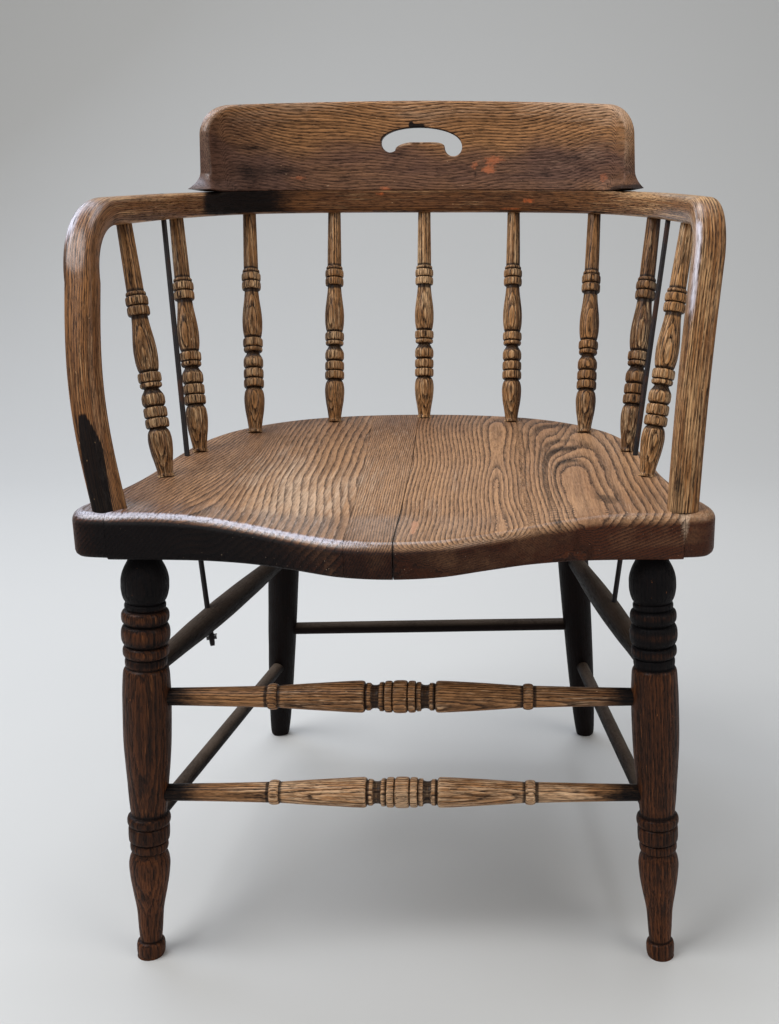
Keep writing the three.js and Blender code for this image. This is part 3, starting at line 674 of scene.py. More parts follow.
def halved(runs: Sequence[Run]) -> tuple[Run, ...]:
    """Return runs of half a length as the first half of a whole length."""
    return tuple(tuple((at / 2, wide) for at, wide in run) for run in runs)


class SplineLine:
    """A centripetal spline through points, which is also read by its length."""

    def __init__(self, points: Sequence[Sequence[float]], closed: bool = False,
                 per_span: int = 24) -> None:
        """Sample the spline.

        Args:
            points: Points that it passes through.
            closed: Whether it comes back to its start.
            per_span: Samples between two points.
        """
        knots = np.asarray(points, float)
        if closed:
            knots = np.vstack((knots[-1], knots, knots[0], knots[1]))
        else:
            knots = np.vstack((2 * knots[0] - knots[1], knots, 2 * knots[-1] - knots[-2]))
        spans = [self._span(knots[i:i + 4], per_span) for i in range(len(knots) - 3)]
        self.samples = np.vstack(spans + ([] if closed else [knots[-2][None]]))
        lengths = np.linalg.norm(np.diff(self.samples, axis=0), axis=1)
        self.at = np.concatenate(((0.0,), np.cumsum(lengths)))
        self.length = float(self.at[-1])

    @staticmethod
    def _span(knots: Array, count: int) -> Array:
        """Return the samples between the middle two of four knots.

        Args:
            knots: The four knots.
            count: Number of samples.

        Returns:
            The samples, without the last knot.
        """
        gaps = np.sqrt(np.linalg.norm(np.diff(knots, axis=0), axis=1))
        first = (knots[1] - knots[0]) / gaps[0] - (knots[2] - knots[0]) / (gaps[0] + gaps[1])
        first = (first + (knots[2] - knots[1]) / gaps[1]) * gaps[1]
        last = (knots[2] - knots[1]) / gaps[1] - (knots[3] - knots[1]) / (gaps[1] + gaps[2])
        last = (last + (knots[3] - knots[2]) / gaps[2]) * gaps[1]
        share = np.linspace(0, 1, count, endpoint=False)[:, None]
        square, cube = share ** 2, share ** 3
        return (
            knots[1] * (2 * cube - 3 * square + 1) + first * (cube - 2 * square + share)
            + knots[2] * (3 * square - 2 * cube) + last * (cube - square)
        )

    def point(self, at: Number) -> Array:
        """Return the points at lengths from the start."""
        return np.stack([np.interp(at, self.at, self.samples[:, axis]) for axis in range(3)], axis=-1)

    def tangent(self, at: Number) -> Array:
        """Return the directions of travel at lengths from the start.

        Args:
            at: Lengths from the start.

        Returns:
            The directions, measured over a short stretch round each place.
        """
        reach = 1.5
        ahead = self.point(np.minimum(np.asarray(at) + reach, self.length))
        behind = self.point(np.maximum(np.asarray(at) - reach, 0.0))
        return units(ahead - behind)

    def outward(self, at: Number) -> Array:
        """Return the level directions to the left of travel at lengths from the start."""
        tangent = self.tangent(at)
        return np.stack((-tangent[:, 1], tangent[:, 0], np.zeros(len(tangent))), axis=1)


@dataclass
class Shape:
    """A mesh in setting-out millimetres, with its place in the timber and its marks."""

    points: Array
    faces: Faces
    grain: Array
    marks: dict[Mark, Array] = field(default_factory=dict)
    sharp_degrees: float = 40.0


def skin(rings: int, count: int) -> Faces:
    """Return the faces between rings of points, with both ends closed.

    Args:
        rings: Number of rings.
        count: Points in each ring.

    Returns:
        The faces.
    """
    faces = []
    for here in range(0, (rings - 1) * count, count):
        for i in range(count):
            j = (i + 1) % count
            faces.append((here + i, here + j, here + count + j, here + count + i))
    faces.append(tuple(reversed(range(count))))
    faces.append(tuple(range((rings - 1) * count, rings * count)))
    return faces


class Workshop:
    """Makes objects of shapes, dresses them, hangs them under the root body and hides the solids that
    they stand for.
    """

    def __init__(self) -> None:
        """Start with no materials."""
        self._materials: dict[str, bpy.types.Material] = {}

    def material(self, finish: Union[Finish, StageFinish]) -> bpy.types.Material:
        """Return a finish's material, made once.

        Args:
            finish: The finish.

        Returns:
            The material.
        """
        if finish.name not in self._materials:
            self._materials[finish.name] = finish.material()
        return self._materials[finish.name]

    def mesh(self, name: str, shape: Shape) -> bpy.types.Mesh:
        """Make a mesh with its marks.

        Args:
            name: The mesh's name.
            shape: What it is made of.

        Returns:
            The mesh.
        """
        mesh = bpy.data.meshes.new(name)
        mesh.from_pydata(placed(shape.points).tolist(), [], shape.faces)
        grain = mesh.attributes.new(GRAIN, "FLOAT_VECTOR", "POINT")
        grain.data.foreach_set("vector", (shape.grain * MM).astype(np.float32).ravel())
        for mark, values in shape.marks.items():
            layer = mesh.attributes.new(mark.value, "FLOAT", "POINT")
            spread = np.broadcast_to(values, len(shape.points)).astype(np.float32)
            layer.data.foreach_set("value", spread)
        mesh.polygons.foreach_set("use_smooth", [True] * len(mesh.polygons))
        mesh.update()
        mesh.set_sharp_from_angle(angle=math.radians(shape.sharp_degrees))
        return mesh

    def add(self, name: str, shape: Shape, finish: Finish, *nodes: str) -> None:
        """Add a piece of the chair.

        Args:
            name: The piece's name.
            shape: What it is made of.
            finish: What it is dressed in.
            nodes: The solids that it stands for.
        """
        piece = bpy.data.objects.new(name, self.mesh(name, shape))
        bpy.context.scene.collection.objects.link(piece)
        piece.data.materials.append(self.material(finish))
        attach(piece, "root")
        if nodes:
            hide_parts(*nodes)
        LOG.info("%s: %d points, %d faces", name, len(piece.data.vertices), len(piece.data.polygons))

    def dress(self, node: str, finish: Finish) -> None:
        """Give a carried-over solid a better material.

        Args:
            node: The solid's name.
            finish: What it is dressed in.
        """
        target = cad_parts[node]
        target = target if isinstance(target, bpy.types.Object) else bpy.data.objects[node]
        target.data.materials.clear()
        target.data.materials.append(self.material(finish))
        LOG.info("%s: kept, dressed in %s", node, finish.name)


def trimmed(shape: Shape, height: float) -> Shape:
    """Return a shape with what reaches below a height laid flat on it.

    Args:
        shape: The shape, whose grain and marks are kept point by point.
        height: The height.

    Returns:
        The flat-ended shape.
    """
    points = shape.points.copy()
    points[:, 2] = np.maximum(points[:, 2], height)
    return Shape(points, shape.faces, shape.grain, shape.marks, shape.sharp_degrees)


@dataclass(frozen=True)
class Turning:
    """A turned piece between two points: its profile, its widest radius and how the rings lie in it."""

    runs: tuple[Run, ...]
    radius: float
    sides: int = 36
    step: float = 1.7
    ring_width: float = 2.3
    pith: tuple[float, float] = (34.0, 12.0)
    wander: float = 0.012
    waves: int = 3
    wear_reach: float = 4.0
    groove_depth: float = 0.15
    proud_height: float = 0.12
    proud_wear: float = 0.16

    def outline(self, length: float) -> tuple[Array, Array]:
        """Return heights and radii along the piece.

        Args:
            length: Length of the profile.

        Returns:
            Heights and radii in millimetres.
        """
        heights, radii = [], []
        for run in self.runs:
            at = np.array([knot[0] for knot in run]) * length
            wide = np.array([knot[1] for knot in run]) * self.radius
            places = [at[0]]
            for low, high in zip(at[:-1], at[1:]):
                count = max(1, math.ceil((high - low) / self.step))
                places.extend(np.linspace(low, high, count + 1)[1:])
            places = np.array(places)
            heights.append(places)
            radii.append(rounded(wide, at, places))
        return np.concatenate(heights), np.concatenate(radii)

    def shape(self, start: Array, end: Array, seed: int, turn: float = 0.0,
              overrun: tuple[float, float] = (3.0, 3.0)) -> Shape:
        """Build the piece.

        Args:
            start: Where the profile starts.
            end: Where it ends.
            seed: Seed of its small irregularities and its cut through the timber.
            turn: Turn of the timber about the axis, in radians.
            overrun: How far the ends run on into the pieces that hold them.

        Returns:
            The shape.
        """
        draw = np.random.default_rng(seed)
        start, end = np.asarray(start, float), np.asarray(end, float)
        length = float(np.linalg.norm(end - start))
        axis = unit(end - start)
        side = unit(np.cross(UP if abs(axis[2]) < 0.7 else np.array((0.0, 1.0, 0.0)), axis))
        other = np.cross(axis, side)
        heights, radii = self.outline(length)
        heights = np.concatenate(((-overrun[0],), heights, (length + overrun[1],)))
        radii = np.concatenate((radii[:1], radii, radii[-1:]))
        angles = np.linspace(0, 2 * np.pi, self.sides, endpoint=False)
        waves = sum(
            draw.uniform(-1, 1) * np.sin(heights[:, None] * draw.uniform(0.02, 0.11)
                                         + angles * draw.integers(1, 4) + draw.uniform(0, 6))
            for _ in range(self.waves)
        )
        wide = radii[:, None] * (1 + self.wander * waves / self.waves)
        across, along = wide * np.cos(angles), wide * np.sin(angles)
        points = (
            start + heights[:, None, None] * axis
            + across[..., None] * side + along[..., None] * other
        ).reshape(-1, 3)
        cut_across = across * math.cos(turn) - along * math.sin(turn)
        cut_along = across * math.sin(turn) + along * math.cos(turn)
        level = np.broadcast_to(heights[:, None], across.shape)
        grain = np.stack((cut_across, cut_along, level), axis=-1).reshape(-1, 3)
        lean = draw.uniform(-0.02, 0.02, 2)
        from_pith = grain[:, :2] - self.pith - lean * grain[:, 2:]
        marks = {
            Mark.RING: np.hypot(from_pith[:, 0], from_pith[:, 1]) / self.ring_width,
            **self._wear(heights, radii),
        }
        grain = grain + draw.uniform(50, 900, 3)
        return Shape(points, skin(len(heights), self.sides), grain, marks, 50.0)

    def _wear(self, heights: Array, radii: Array) -> dict[Mark, Array]:
        """Return the grime in the grooves and the wear on what stands proud.

        Args:
            heights: Heights of the rings.
            radii: Their radii.

        Returns:
            Both marks, point by point.
        """
        spans = np.abs(heights[:, None] - heights[None, :])
        proud = np.where(spans < self.wear_reach, radii[None, :], 0).max(axis=1)
        weight = np.exp(-((spans / (2 * self.wear_reach)) ** 2))
        usual = (weight * radii[None, :]).sum(axis=1) / weight.sum(axis=1)
        groove = np.clip((proud - radii) / (self.groove_depth * self.radius), 0, 1)
        worn = np.clip((radii - usual) / (self.proud_height * self.radius), 0, 1) * self.proud_wear
        return {Mark.GROOVE: np.repeat(groove, self.sides), Mark.WORN: np.repeat(worn, self.sides)}


def unpacked(mesh: bmesh.types.BMesh) -> tuple[Array, Faces]:
    """Take the points and faces out of a mesh under work, and free it.

    Args:
        mesh: The mesh.

    Returns:
        Its points and faces.
    """
    mesh.verts.index_update()
    points = np.array([vert.co[:] for vert in mesh.verts])
    faces = [tuple(vert.index for vert in face.verts) for face in mesh.faces]
    mesh.free()
    return points, faces


# -------------------------------------------------------------------------------------------------
# The seat


Seam = tuple[Knot, Knot, int]


@dataclass
class Seat:
    """The dished seat: three boards and two small ears, glued side by side."""

    top: float = 440.0
    thickness: float = 42.0
    edge_round: float = 10.0
    under_round: float = 5.0
    dish_depth: float = 14.0
    dish_across: tuple[float, float] = (0.214, 0.768)
    dish_back: tuple[float, float] = (0.563, 0.885)
    dish_front: tuple[float, float] = (0.0, 0.282)
    dish_front_share: float = 0.7
    half_width: float = 280.0
    left_extra: float = 5.0
    depth: float = 497.0
    front: float = -50.0
    outline_shares: tuple[Knot, ...] = (
        (0, 0), (0.15, 0.012), (0.29, 0.048), (0.42, 0.08), (0.57, 0.1), (0.75, 0.107), (0.89, 0.109),
        (0.972, 0.12), (1, 0.15), (0.99, 0.19), (0.948, 0.26), (0.914, 0.34), (0.893, 0.42),
        (0.882, 0.5), (0.864, 0.6), (0.845, 0.668), (0.816, 0.73), (0.77, 0.793), (0.707, 0.845),
        (0.612, 0.899), (0.5, 0.942), (0.378, 0.97), (0.25, 0.988), (0.125, 0.997), (0, 1),
    )
    left_seam: tuple[float, float] = (-0.136, -0.221)
    right_seam: tuple[float, float] = (0.011, -0.021)
    ear_seam: float = 251.0
    seam_gap: float = 0.35
    seam_overrun: float = 6.0
    crack_gap: float = 1.5
    ear_thickness_share: float = 0.965
    notch_depth: float = 3.2
    rim_steps: int = 8
    under_steps: int = 3
    round_steps: int = 7
    top_rings: int = 92
    side_shares: Knot = (0.3, 0.65)
    grain_start: float = 700.0
    oval: Knot = (163.5, 107.0)
    oval_stretch: float = 5.7
    oval_power: float = 3.6
    arch: Knot = (87.0, 150.0)
    arch_stretch: float = 11.0
    left_rings: tuple[Knot, ...] = (
        (-290.0, 0.0), (-166.0, 27.0), (-147.0, 31.2), (-110.0, 37.5), (-30.0, 47.5))
    oval_left_rings: tuple[Knot, ...] = (
        (0.0, 0.6), (17.5, 0.98), (27.5, 3.0), (31.0, 4.0), (45.0, 7.0), (60.0, 9.97))
    oval_right_rings: tuple[Knot, ...] = (
        (0.0, 0.6), (16.5, 0.98), (29.0, 3.0), (41.0, 4.0), (150.0, 19.0))
    arch_rings: tuple[Knot, ...] = ((0.0, 10.6), (14.0, 10.98), (120.0, 37.0))
    # How near to black the front face is painted along the seat, most toward the left.
    front_black_along: tuple[Knot, ...] = (
        (-290.0, 0.5), (-262.0, 0.72), (-238.0, 1.0), (-160.0, 0.9), (-60.0, 0.58), (60.0, 0.42),
        (200.0, 0.2), (290.0, 0.25))
    gloss_along: tuple[Knot, ...] = (
        (-285.0, 0.5), (-262.0, 1.3), (-60.0, 1.3), (10.0, 0.9), (80.0, 0.2))
    # Strength of the painted highlight along the front top edge.
    bloom_along: tuple[Knot, ...] = (
        (-280.0, 0.3), (-225.0, 0.85), (-60.0, 0.85), (-20.0, 0.5), (30.0, 0.0))
    polish: tuple[Spot, ...] = (
        Spot(0.0, 150.0, 190.0, 190.0, 0.3), Spot(-105.0, 110.0, 62.0, 150.0, 0.5))
    ring_stains: tuple[Place, ...] = (
        (19.0, 2.2, 0.62), (28.5, 2.8, 0.64), (34.5, 2.0, 0.5), (47.0, 2.2, 0.52))

    def place(self, across: float, back: float, height: float) -> Array:
        """Return a place on the seat from shares of its half width and depth."""
        return np.array((across * self.half_width, self.front + back * self.depth, height))

    def dish(self, x: Array, y: Array) -> Array:
        """Return how deep the dish is.

        Args:
            x: Places across the seat.
            y: Places along it.

        Returns:
            The depths there.
        """
        share = (y - self.front) / self.depth
        across = 1 - smooth(np.abs(x) / self.half_width, *self.dish_across)
        back = 1 - smooth(share, *self.dish_back)
        front = lerp(self.dish_front_share, 1.0, smooth(share, *self.dish_front))
        return self.dish_depth * across * back * front

    def _rim(self) -> tuple[Array, Array]:
        """Trace the seat's edge.

        Returns:
            The outline and the inward directions along it.
        """
        stretch = -(self.half_width + self.left_extra) / self.half_width
        right = [self.place(*share, 0.0) for share in self.outline_shares]
        left = [self.place(share[0] * stretch, share[1], 0.0) for share in self.outline_shares[-2:0:-1]]
        rim = SplineLine(right + left, closed=True, per_span=self.rim_steps).samples
        along = units(np.roll(rim, -1, axis=0) - np.roll(rim, 1, axis=0))
        return rim, np.stack((-along[:, 1], along[:, 0], np.zeros(len(rim))), axis=1)

    def blank(self) -> tuple[Array, Faces]:
        """Shape the whole seat before it is parted.

        Returns:
            Its points and faces.
        """
        rim, inward = self._rim()
        bottom = self.top - self.thickness
        rings = []

        def lay(ring: Array, height: Number) -> None:
            """Add a ring at a height."""
            ring[:, 2] = height
            rings.append(ring)

        for angle in np.arange(self.under_steps + 1) / self.under_steps * math.pi / 2:
            ring = rim + inward * self.under_round * (1 - math.sin(angle))
            lay(ring, bottom + self.under_round * (1 - math.cos(angle)))
        for share in self.side_shares:
            lay(rim.copy(), lerp(bottom + self.under_round, self.top - 2 * self.edge_round, share))
        for angle in np.arange(self.round_steps + 1) / self.round_steps * math.pi / 2:
            ring = rim + inward * self.edge_round * (1 - math.cos(angle))
            surface = self.top - self.dish(ring[:, 0], ring[:, 1])
            lay(ring, surface - self.edge_round * (1 - math.sin(angle)))
        edge, middle = rings[-1], np.array((0.0, self.front + self.depth / 2, 0.0))
        for step in range(1, self.top_rings):
            ring = lerp(edge, middle, step / self.top_rings)
            lay(ring, self.top - self.dish(ring[:, 0], ring[:, 1]))
        return np.vstack(rings), skin(len(rings), len(rim))

    @staticmethod
    def _parted(points: Array, faces: Faces, seams: Sequence[Seam]) -> tuple[Array, Faces]:
        """Cut the seat with upright planes and keep one side of each.

        Args:
            points: The seat's points.
            faces: Its faces.
            seams: Both ends of each plane, and 1 to keep what lies to its left or -1 for its right.

        Returns:
            Points and faces of what is kept.
        """
        mesh = bmesh.new()
        verts = [mesh.verts.new(point) for point in points]
        for face in faces:
            mesh.faces.new([verts[i] for i in face])
        for start, end, sign in seams:
            direction = Vector((end[0] - start[0], end[1] - start[1], 0)).normalized()
            normal = Vector((direction.y, -direction.x, 0)) * sign
            cut = bmesh.ops.bisect_plane(
                mesh, geom=mesh.verts[:] + mesh.edges[:] + mesh.faces[:], plane_co=(*start, 0.0),
                plane_no=normal, clear_outer=True,
            )
            rim = [item for item in cut["geom_cut"] if isinstance(item, bmesh.types.BMEdge)]
            bmesh.ops.edgeloop_fill(mesh, edges=rim)
        return unpacked(mesh)

    def _seam(self, shares: Knot, gap: float, sign: int) -> Seam:
        """Lay out a seam, moved sideways by a gap.

        Args:
            shares: Its place at the front and at the back, as shares of the half width.
            gap: How far it is moved to the right.
            sign: 1 to keep what lies to its left, -1 for its right.

        Returns:
            Both ends, past the seat's edges, and the sign.
        """
        front, back = self.front - self.seam_overrun, self.front + self.depth + self.seam_overrun
        across = [share * self.half_width + gap for share in shares]
        return (across[0], front), (across[1], back), sign

    def _rings(self, name: str, points: Array) -> Array:
        """Number the growth rings over a board.

        Args:
            name: The board's name.
            points: Its points.

        Returns:
            The ring at each point, with its share of the way to the next.
        """
        x, y, z = points.T
        drop = self.top - z
        if name == "seat_board_right":
            return self._cathedral(x, y, drop)
        if name == "seat_board_centre":
            return (x + 0.03 * y + drop * 0.5) / 2.3
        front_bend = 19.0 * smooth(-y, -200.0, -20.0) * smooth(x, -190.0, -95.0)
        straight = x - (front_bend - 7.0 * smooth(y, 220.0, 350.0)) + drop * 0.9
        lean = 0.19 * (y - 142.0) * smooth(-x, 150.0, 196.0)
        return read(self.left_rings, straight - lean)

    def _reach(self, x: Array, y: Array) -> tuple[Array, Array]:
        """Measure places from the oval of the right board.

        Args:
            x: Places across the seat.
            y: Places along it.

        Returns:
            How far they lie from the middle of the oval's arches, and how far to its right.
        """
        aside = x - (self.oval[0] + 7.0 * smooth(-y, -140.0, 10.0))
        beyond = np.maximum(y - self.oval[1], 0.0) / self.oval_stretch
        power = self.oval_power
        return (np.abs(aside) ** power + beyond ** power) ** (1.0 / power), aside

    def _cathedral(self, x: Array, y: Array, drop: Array) -> Array:
        """Number the right board's rings: arches round an oval, and a pointed arch left of them.

        Args:
            x: Places across the seat.
            y: Places along it.
            drop: How far they lie below the seat's rim.

        Returns:
            The ring at each place.
        """
        reach, aside = self._reach(x, y)
        face = drop * 0.9 + 1.9 * np.maximum(drop - 14.0, 0.0)
        reach = reach + face
        left, right = read(self.oval_left_rings, reach), read(self.oval_right_rings, reach)
        oval = lerp(left, right, smooth(aside, -12.0, 12.0))
        arch_x = self.arch[0] + 5.0 * smooth(-y, -120.0, 0.0)
        arch_y = np.maximum(y - self.arch[1], 0.0) / self.arch_stretch
        arches = read(self.arch_rings, np.hypot(x - arch_x, arch_y) + face)
        return np.where((aside < -60.0) | ((aside < 0) & (reach > 60.0)), arches, oval)

    def _marks(self, name: str, points: Array) -> dict[Mark, Array]:
        """Lay out the wear, the grime, the stains, the painted shade and the painted highlights of a
        board.

        Args:
            name: The board's name.
            points: Its points.

        Returns:
            Its marks.
        """
        x, y, z = points.T
        below = self.top - self.dish(x, y) - z
        side = smooth(below, 4.5, lerp(7.5, 10.0, smooth(x, 0.0, 120.0)))
        face = 1 - side
        nose = smooth(-y, -60.0, -25.0)
        # The front face darkens further toward black, most toward the left.
        soot = side * smooth(-y, -30.0, -5.0) * read(self.front_black_along, x)
        gloss = smooth(below, -1.5, 1.0) * (1 - smooth(below, 6.0, 10.0)) * nose
        # Painted shade: the front and side faces and the underside are painted darker.
        dark = np.clip(0.06 + side * 0.85 + smooth(below, 30.0, 36.0), 0, 1.2)
        dark = dark + 0.3 * smooth(y, 300.0, 430.0) + 0.22 * smooth(-x, 190.0, 260.0)
        dark = dark + 0.22 * smooth(-x, 120.0, 200.0) * face
        dark = dark + 0.3 * gloss * (1 - smooth(x, -40.0, 40.0))
        # Pale band along the rounded front top edge, toward the right, in the worn colour: wear and a
        # painted highlight.
        edge = ridge(below, 2.5, 3.0) * smooth(below, 0.3, 2.0)
        joint = ridge(x, self.ear_seam, 2.5) * smooth(-y, -40.0, -10.0) * smooth(z, 405.0, 425.0)
        worn = face * spotted(self.polish, x, y) + edge * 0.35 * smooth(x, -20.0, 60.0) + 1.1 * joint
        seam = self.half_width * lerp(*self.right_seam, (y - self.front) / self.depth)
        crack = ridge(x, seam, 2.0) * smooth(-y, -190.0, 0.0)
        grime = 0.25 * side * smooth(np.sin(x / 9.0) * np.sin(z / 3.0), 0.6, 1.0)
        # Painted highlight along the rounded front top edge, toward the left.
        lit = ridge(below, 1.6, 2.6) * nose * smooth(below, -0.5, 0.6)
        # Painted sheen over the left front corner of the seat top.
        corner = smooth(-x, 215.0, 262.0) * (1 - smooth(y, 60.0, 120.0)) * face
        patch = np.maximum(np.abs(x - 17.0) / 3.6, np.abs(y - 2.0) / 24.0)
        if name == "seat_board_right":
            reach, aside = self._reach(x, y)
            bands = sum(size * ridge(reach, at, wide) for at, wide, size in self.ring_stains)
            knot = np.hypot((x - 187.0 + 0.25 * (y - 60.0)) / 12.0, (y - 58.0) / 22.0)
            stain = bands * (1 - smooth(aside, 0.0, 26.0)) + 0.46 * (1 - smooth(knot, 0.55, 1.1))
            within = 1 - smooth(reach, 12.0, 18.0)
            soot = soot + stain * face
            dark = dark + 0.14 * within
            worn = worn * (1 - 0.9 * within)
        return {
            Mark.RING: self._rings(name, points), Mark.SHADE: dark, Mark.WORN: worn, Mark.SOOT: soot,
            Mark.GROOVE: grime + 0.8 * crack, Mark.GLOSS: gloss * read(self.gloss_along, x),
            Mark.BLOOM: lit * read(self.bloom_along, x) + 0.35 * corner,
            Mark.FILLER: 0.75 * (1 - smooth(patch, 0.4, 1.6)) * face,
        }

    def build(self, workshop: Workshop) -> None:
        """Build the five boards.

        Args:
            workshop: Where they are made.
        """
        points, faces = self.blank()
        points = self._nicked(points)
        gap, crack = self.seam_gap / 2, self.crack_gap / 2
        ear_right = (self.ear_seam / self.half_width,) * 2
        ear_left = tuple(-share for share in ear_right)
        cuts = {
            "seat_ear_left": (self._seam(ear_left, -gap, 1),),
            "seat_board_left": (self._seam(ear_left, gap, -1), self._seam(self.left_seam, -gap, 1)),
            "seat_board_centre": (
                self._seam(self.left_seam, gap, -1), self._seam(self.right_seam, -crack, 1)),
            "seat_board_right": (self._seam(self.right_seam, 0.0, -1), self._seam(ear_right, -gap, 1)),
            "seat_ear_right": (self._seam(ear_right, gap, -1),),
        }
        for name, seams in cuts.items():
            cut, loops = self._parted(points, faces, seams)
            marks = self._marks(name, cut)
            grain = cut[:, (0, 2, 1)] + self.grain_start
            if name.startswith("seat_ear"):
                cut[:, 2] = self.top - (self.top - cut[:, 2]) * self.ear_thickness_share
            workshop.add(f"fine_{name}", Shape(cut, loops, grain, marks), SEAT_FINISH, name)

    def _nicked(self, points: Array) -> Array:
        """Wear notches where the ears' seams meet the front edge.

        Args:
            points: The seat's points.

        Returns:
            The points with the notches.
        """
        points = points.copy()
        x, y, z = points.T
        reach = smooth(-y, -22.0, 2.0) * smooth(z, self.top - 16.0, self.top - 6.0)
        notches = ridge(x, self.ear_seam, 3.2) + 0.5 * ridge(x, -self.ear_seam, 3.0)
        points[:, 2] -= self.notch_depth * reach * notches
        return points


# -------------------------------------------------------------------------------------------------
# The arm bow and the crest rail


@dataclass
class ArmBow:
    """The bent bow that is back rail, arms and front posts in one piece."""

    rail_bottom: float = 675.0
    rail_height: float = 26.0
    rail_width: float = 28.0
    post_width: float = 28.5
    post_depth: float = 22.5
    foot_width: float = 26.5
    foot_depth: float = 21.0
    half_width: float = 273.0
    depth: float = 289.0
    back: float = 494.0
    plan_shares: tuple[Knot, ...] = ((0, 0), (0.392, 0.021), (0.733, 0.166), (0.934, 0.5675), (1, 1))
    spread: dict[Side, float] = field(default_factory=lambda: {Side.LEFT: 15.0, Side.RIGHT: 7.0})
    forward: float = 93.0
    radius: dict[Side, float] = field(default_factory=lambda: {Side.LEFT: 88.0, Side.RIGHT: 56.0})
    bulge: dict[Side, float] = field(default_factory=lambda: {Side.LEFT: 8.0, Side.RIGHT: -1.5})
    foot: tuple[float, float, float] = (250.5, 21.0, 439.6)
    section: tuple[Knot, ...] = (
        (1, -0.5), (1, 0.5), (0.84, 0.84), (0.5, 1), (-0.5, 1), (-0.84, 0.84),
        (-1, 0.5), (-1, -0.5), (-0.84, -0.84), (-0.5, -1), (0.5, -1), (0.84, -0.84),
    )
    chamfered: tuple[Knot, ...] = (
        (1, -0.5), (1, 0.5), (0.84, 0.84), (0.5, 1), (0.1, 0.97), (-0.5, 0.35),
        (-0.95, -0.45), (-1, -0.7), (-0.84, -0.88), (-0.5, -1), (0.5, -1), (0.84, -0.84),
    )
    flat_topped: tuple[Knot, ...] = (
        (1, -0.5), (1, 0.82), (1, 1), (0.8, 1), (-0.8, 1), (-1, 1),
        (-1, 0.82), (-1, -0.5), (-0.84, -0.84), (-0.5, -1), (0.5, -1), (0.84, -0.84),
    )
    section_swell: float = 1.006
    crest_reach: float = 268.0
    crest_fade: Knot = (-4.0, 10.0)
    bend_steps: int = 20
    post_steps: int = 40
    rail_steps: int = 150
    grain_start: float = 300.0
    orange: tuple[Spot, ...] = (
        Spot(-50, 697, 8, 3.2, 0.6), Spot(124, 689, 11, 4.5, 0.62), Spot(104, 680, 24, 2.6, 0.5),
        Spot(-20, 690, 5, 2, 0.4))
    scorch: Spot = Spot(98.0, 692.0, 13.0, 5.0, 0.5, (4, 4))

    @property
    def middle(self) -> float:
        """Return the height of the rail's centre line."""
        return self.rail_bottom + self.rail_height / 2

    @property
    def top(self) -> float:
        """Return the height of the rail's top."""
        return self.rail_bottom + self.rail_height

    def plan(self) -> list[Array]:
        """Return the points of the right half of the rail, from the back centre to the arm."""
        return [
            np.array((across * self.half_width, self.back - forward * self.depth, self.middle))
            for across, forward in self.plan_shares
        ]

    def line(self) -> SplineLine:
        """Draw the rail's centre line.

        Returns:
            The line from the left arm round the back to the right arm.
        """
        right = self.plan()
        left = [point * (-1, 1, 1) for point in right[:0:-1]]
        return SplineLine(left + right, per_span=48)

    def _arm(self, side: Side) -> tuple[Array, Array, Array, Array]:
        """Lay out an arm from the rail down to the seat.

        Args:
            side: The arm's side.

        Returns:
            Its centres, its outward direction, and each centre's shares of the bend and of the post.
        """
        arm = self.plan()[-1] * (side.value, 1, 1)
        corner = arm + (side.value * self.spread[side], -self.forward, 0)
        foot = np.array(self.foot) * (side.value, 1, 1)
        arrive, leave = unit(corner - arm), unit(foot - corner)
        half = math.acos(float(arrive @ leave)) / 2
        start = corner - arrive * self.radius[side] * math.tan(half)
        centre = unit(leave - arrive * float(leave @ arrive))
        angles = np.linspace(0, 2 * half, self.bend_steps + 1)[:, None]
        bend = start + self.radius[side] * (arrive * np.sin(angles) + centre * (1 - np.cos(angles)))
        share = (np.arange(self.post_steps) + 1)[:, None] / self.post_steps
        post = lerp(bend[-1], foot, share)
        post[:, 0] += side.value * self.bulge[side] * np.sin(np.pi * share[:, 0])
        outward = unit(np.array((-arrive[1], arrive[0], 0)) * side.value)
        bend_share = np.concatenate((np.linspace(0, 1, len(bend)), np.ones(len(post))))
        foot_share = np.concatenate((np.zeros(len(bend)), share[:, 0]))
        return np.vstack((bend, post)), outward, bend_share, foot_share

    @staticmethod
    def _rounded_section(corners: Sequence[Knot]) -> Array:
        """Cut a section's corners twice, so that it runs round smoothly.

        Args:
            corners: The section's corners.

        Returns:
            Its points, with two more between each two.
        """
        ring = np.array(corners, float)
        for _ in range(2):
            after = np.roll(ring, -1, axis=0)
            ring = np.stack((0.75 * ring + 0.25 * after, 0.25 * ring + 0.75 * after), axis=1)
            ring = ring.reshape(-1, 2)
        after = np.roll(ring, -1, axis=0)
        return np.stack([lerp(ring, after, share) for share in (0, 1 / 3, 2 / 3)], axis=1).reshape(-1, 2)

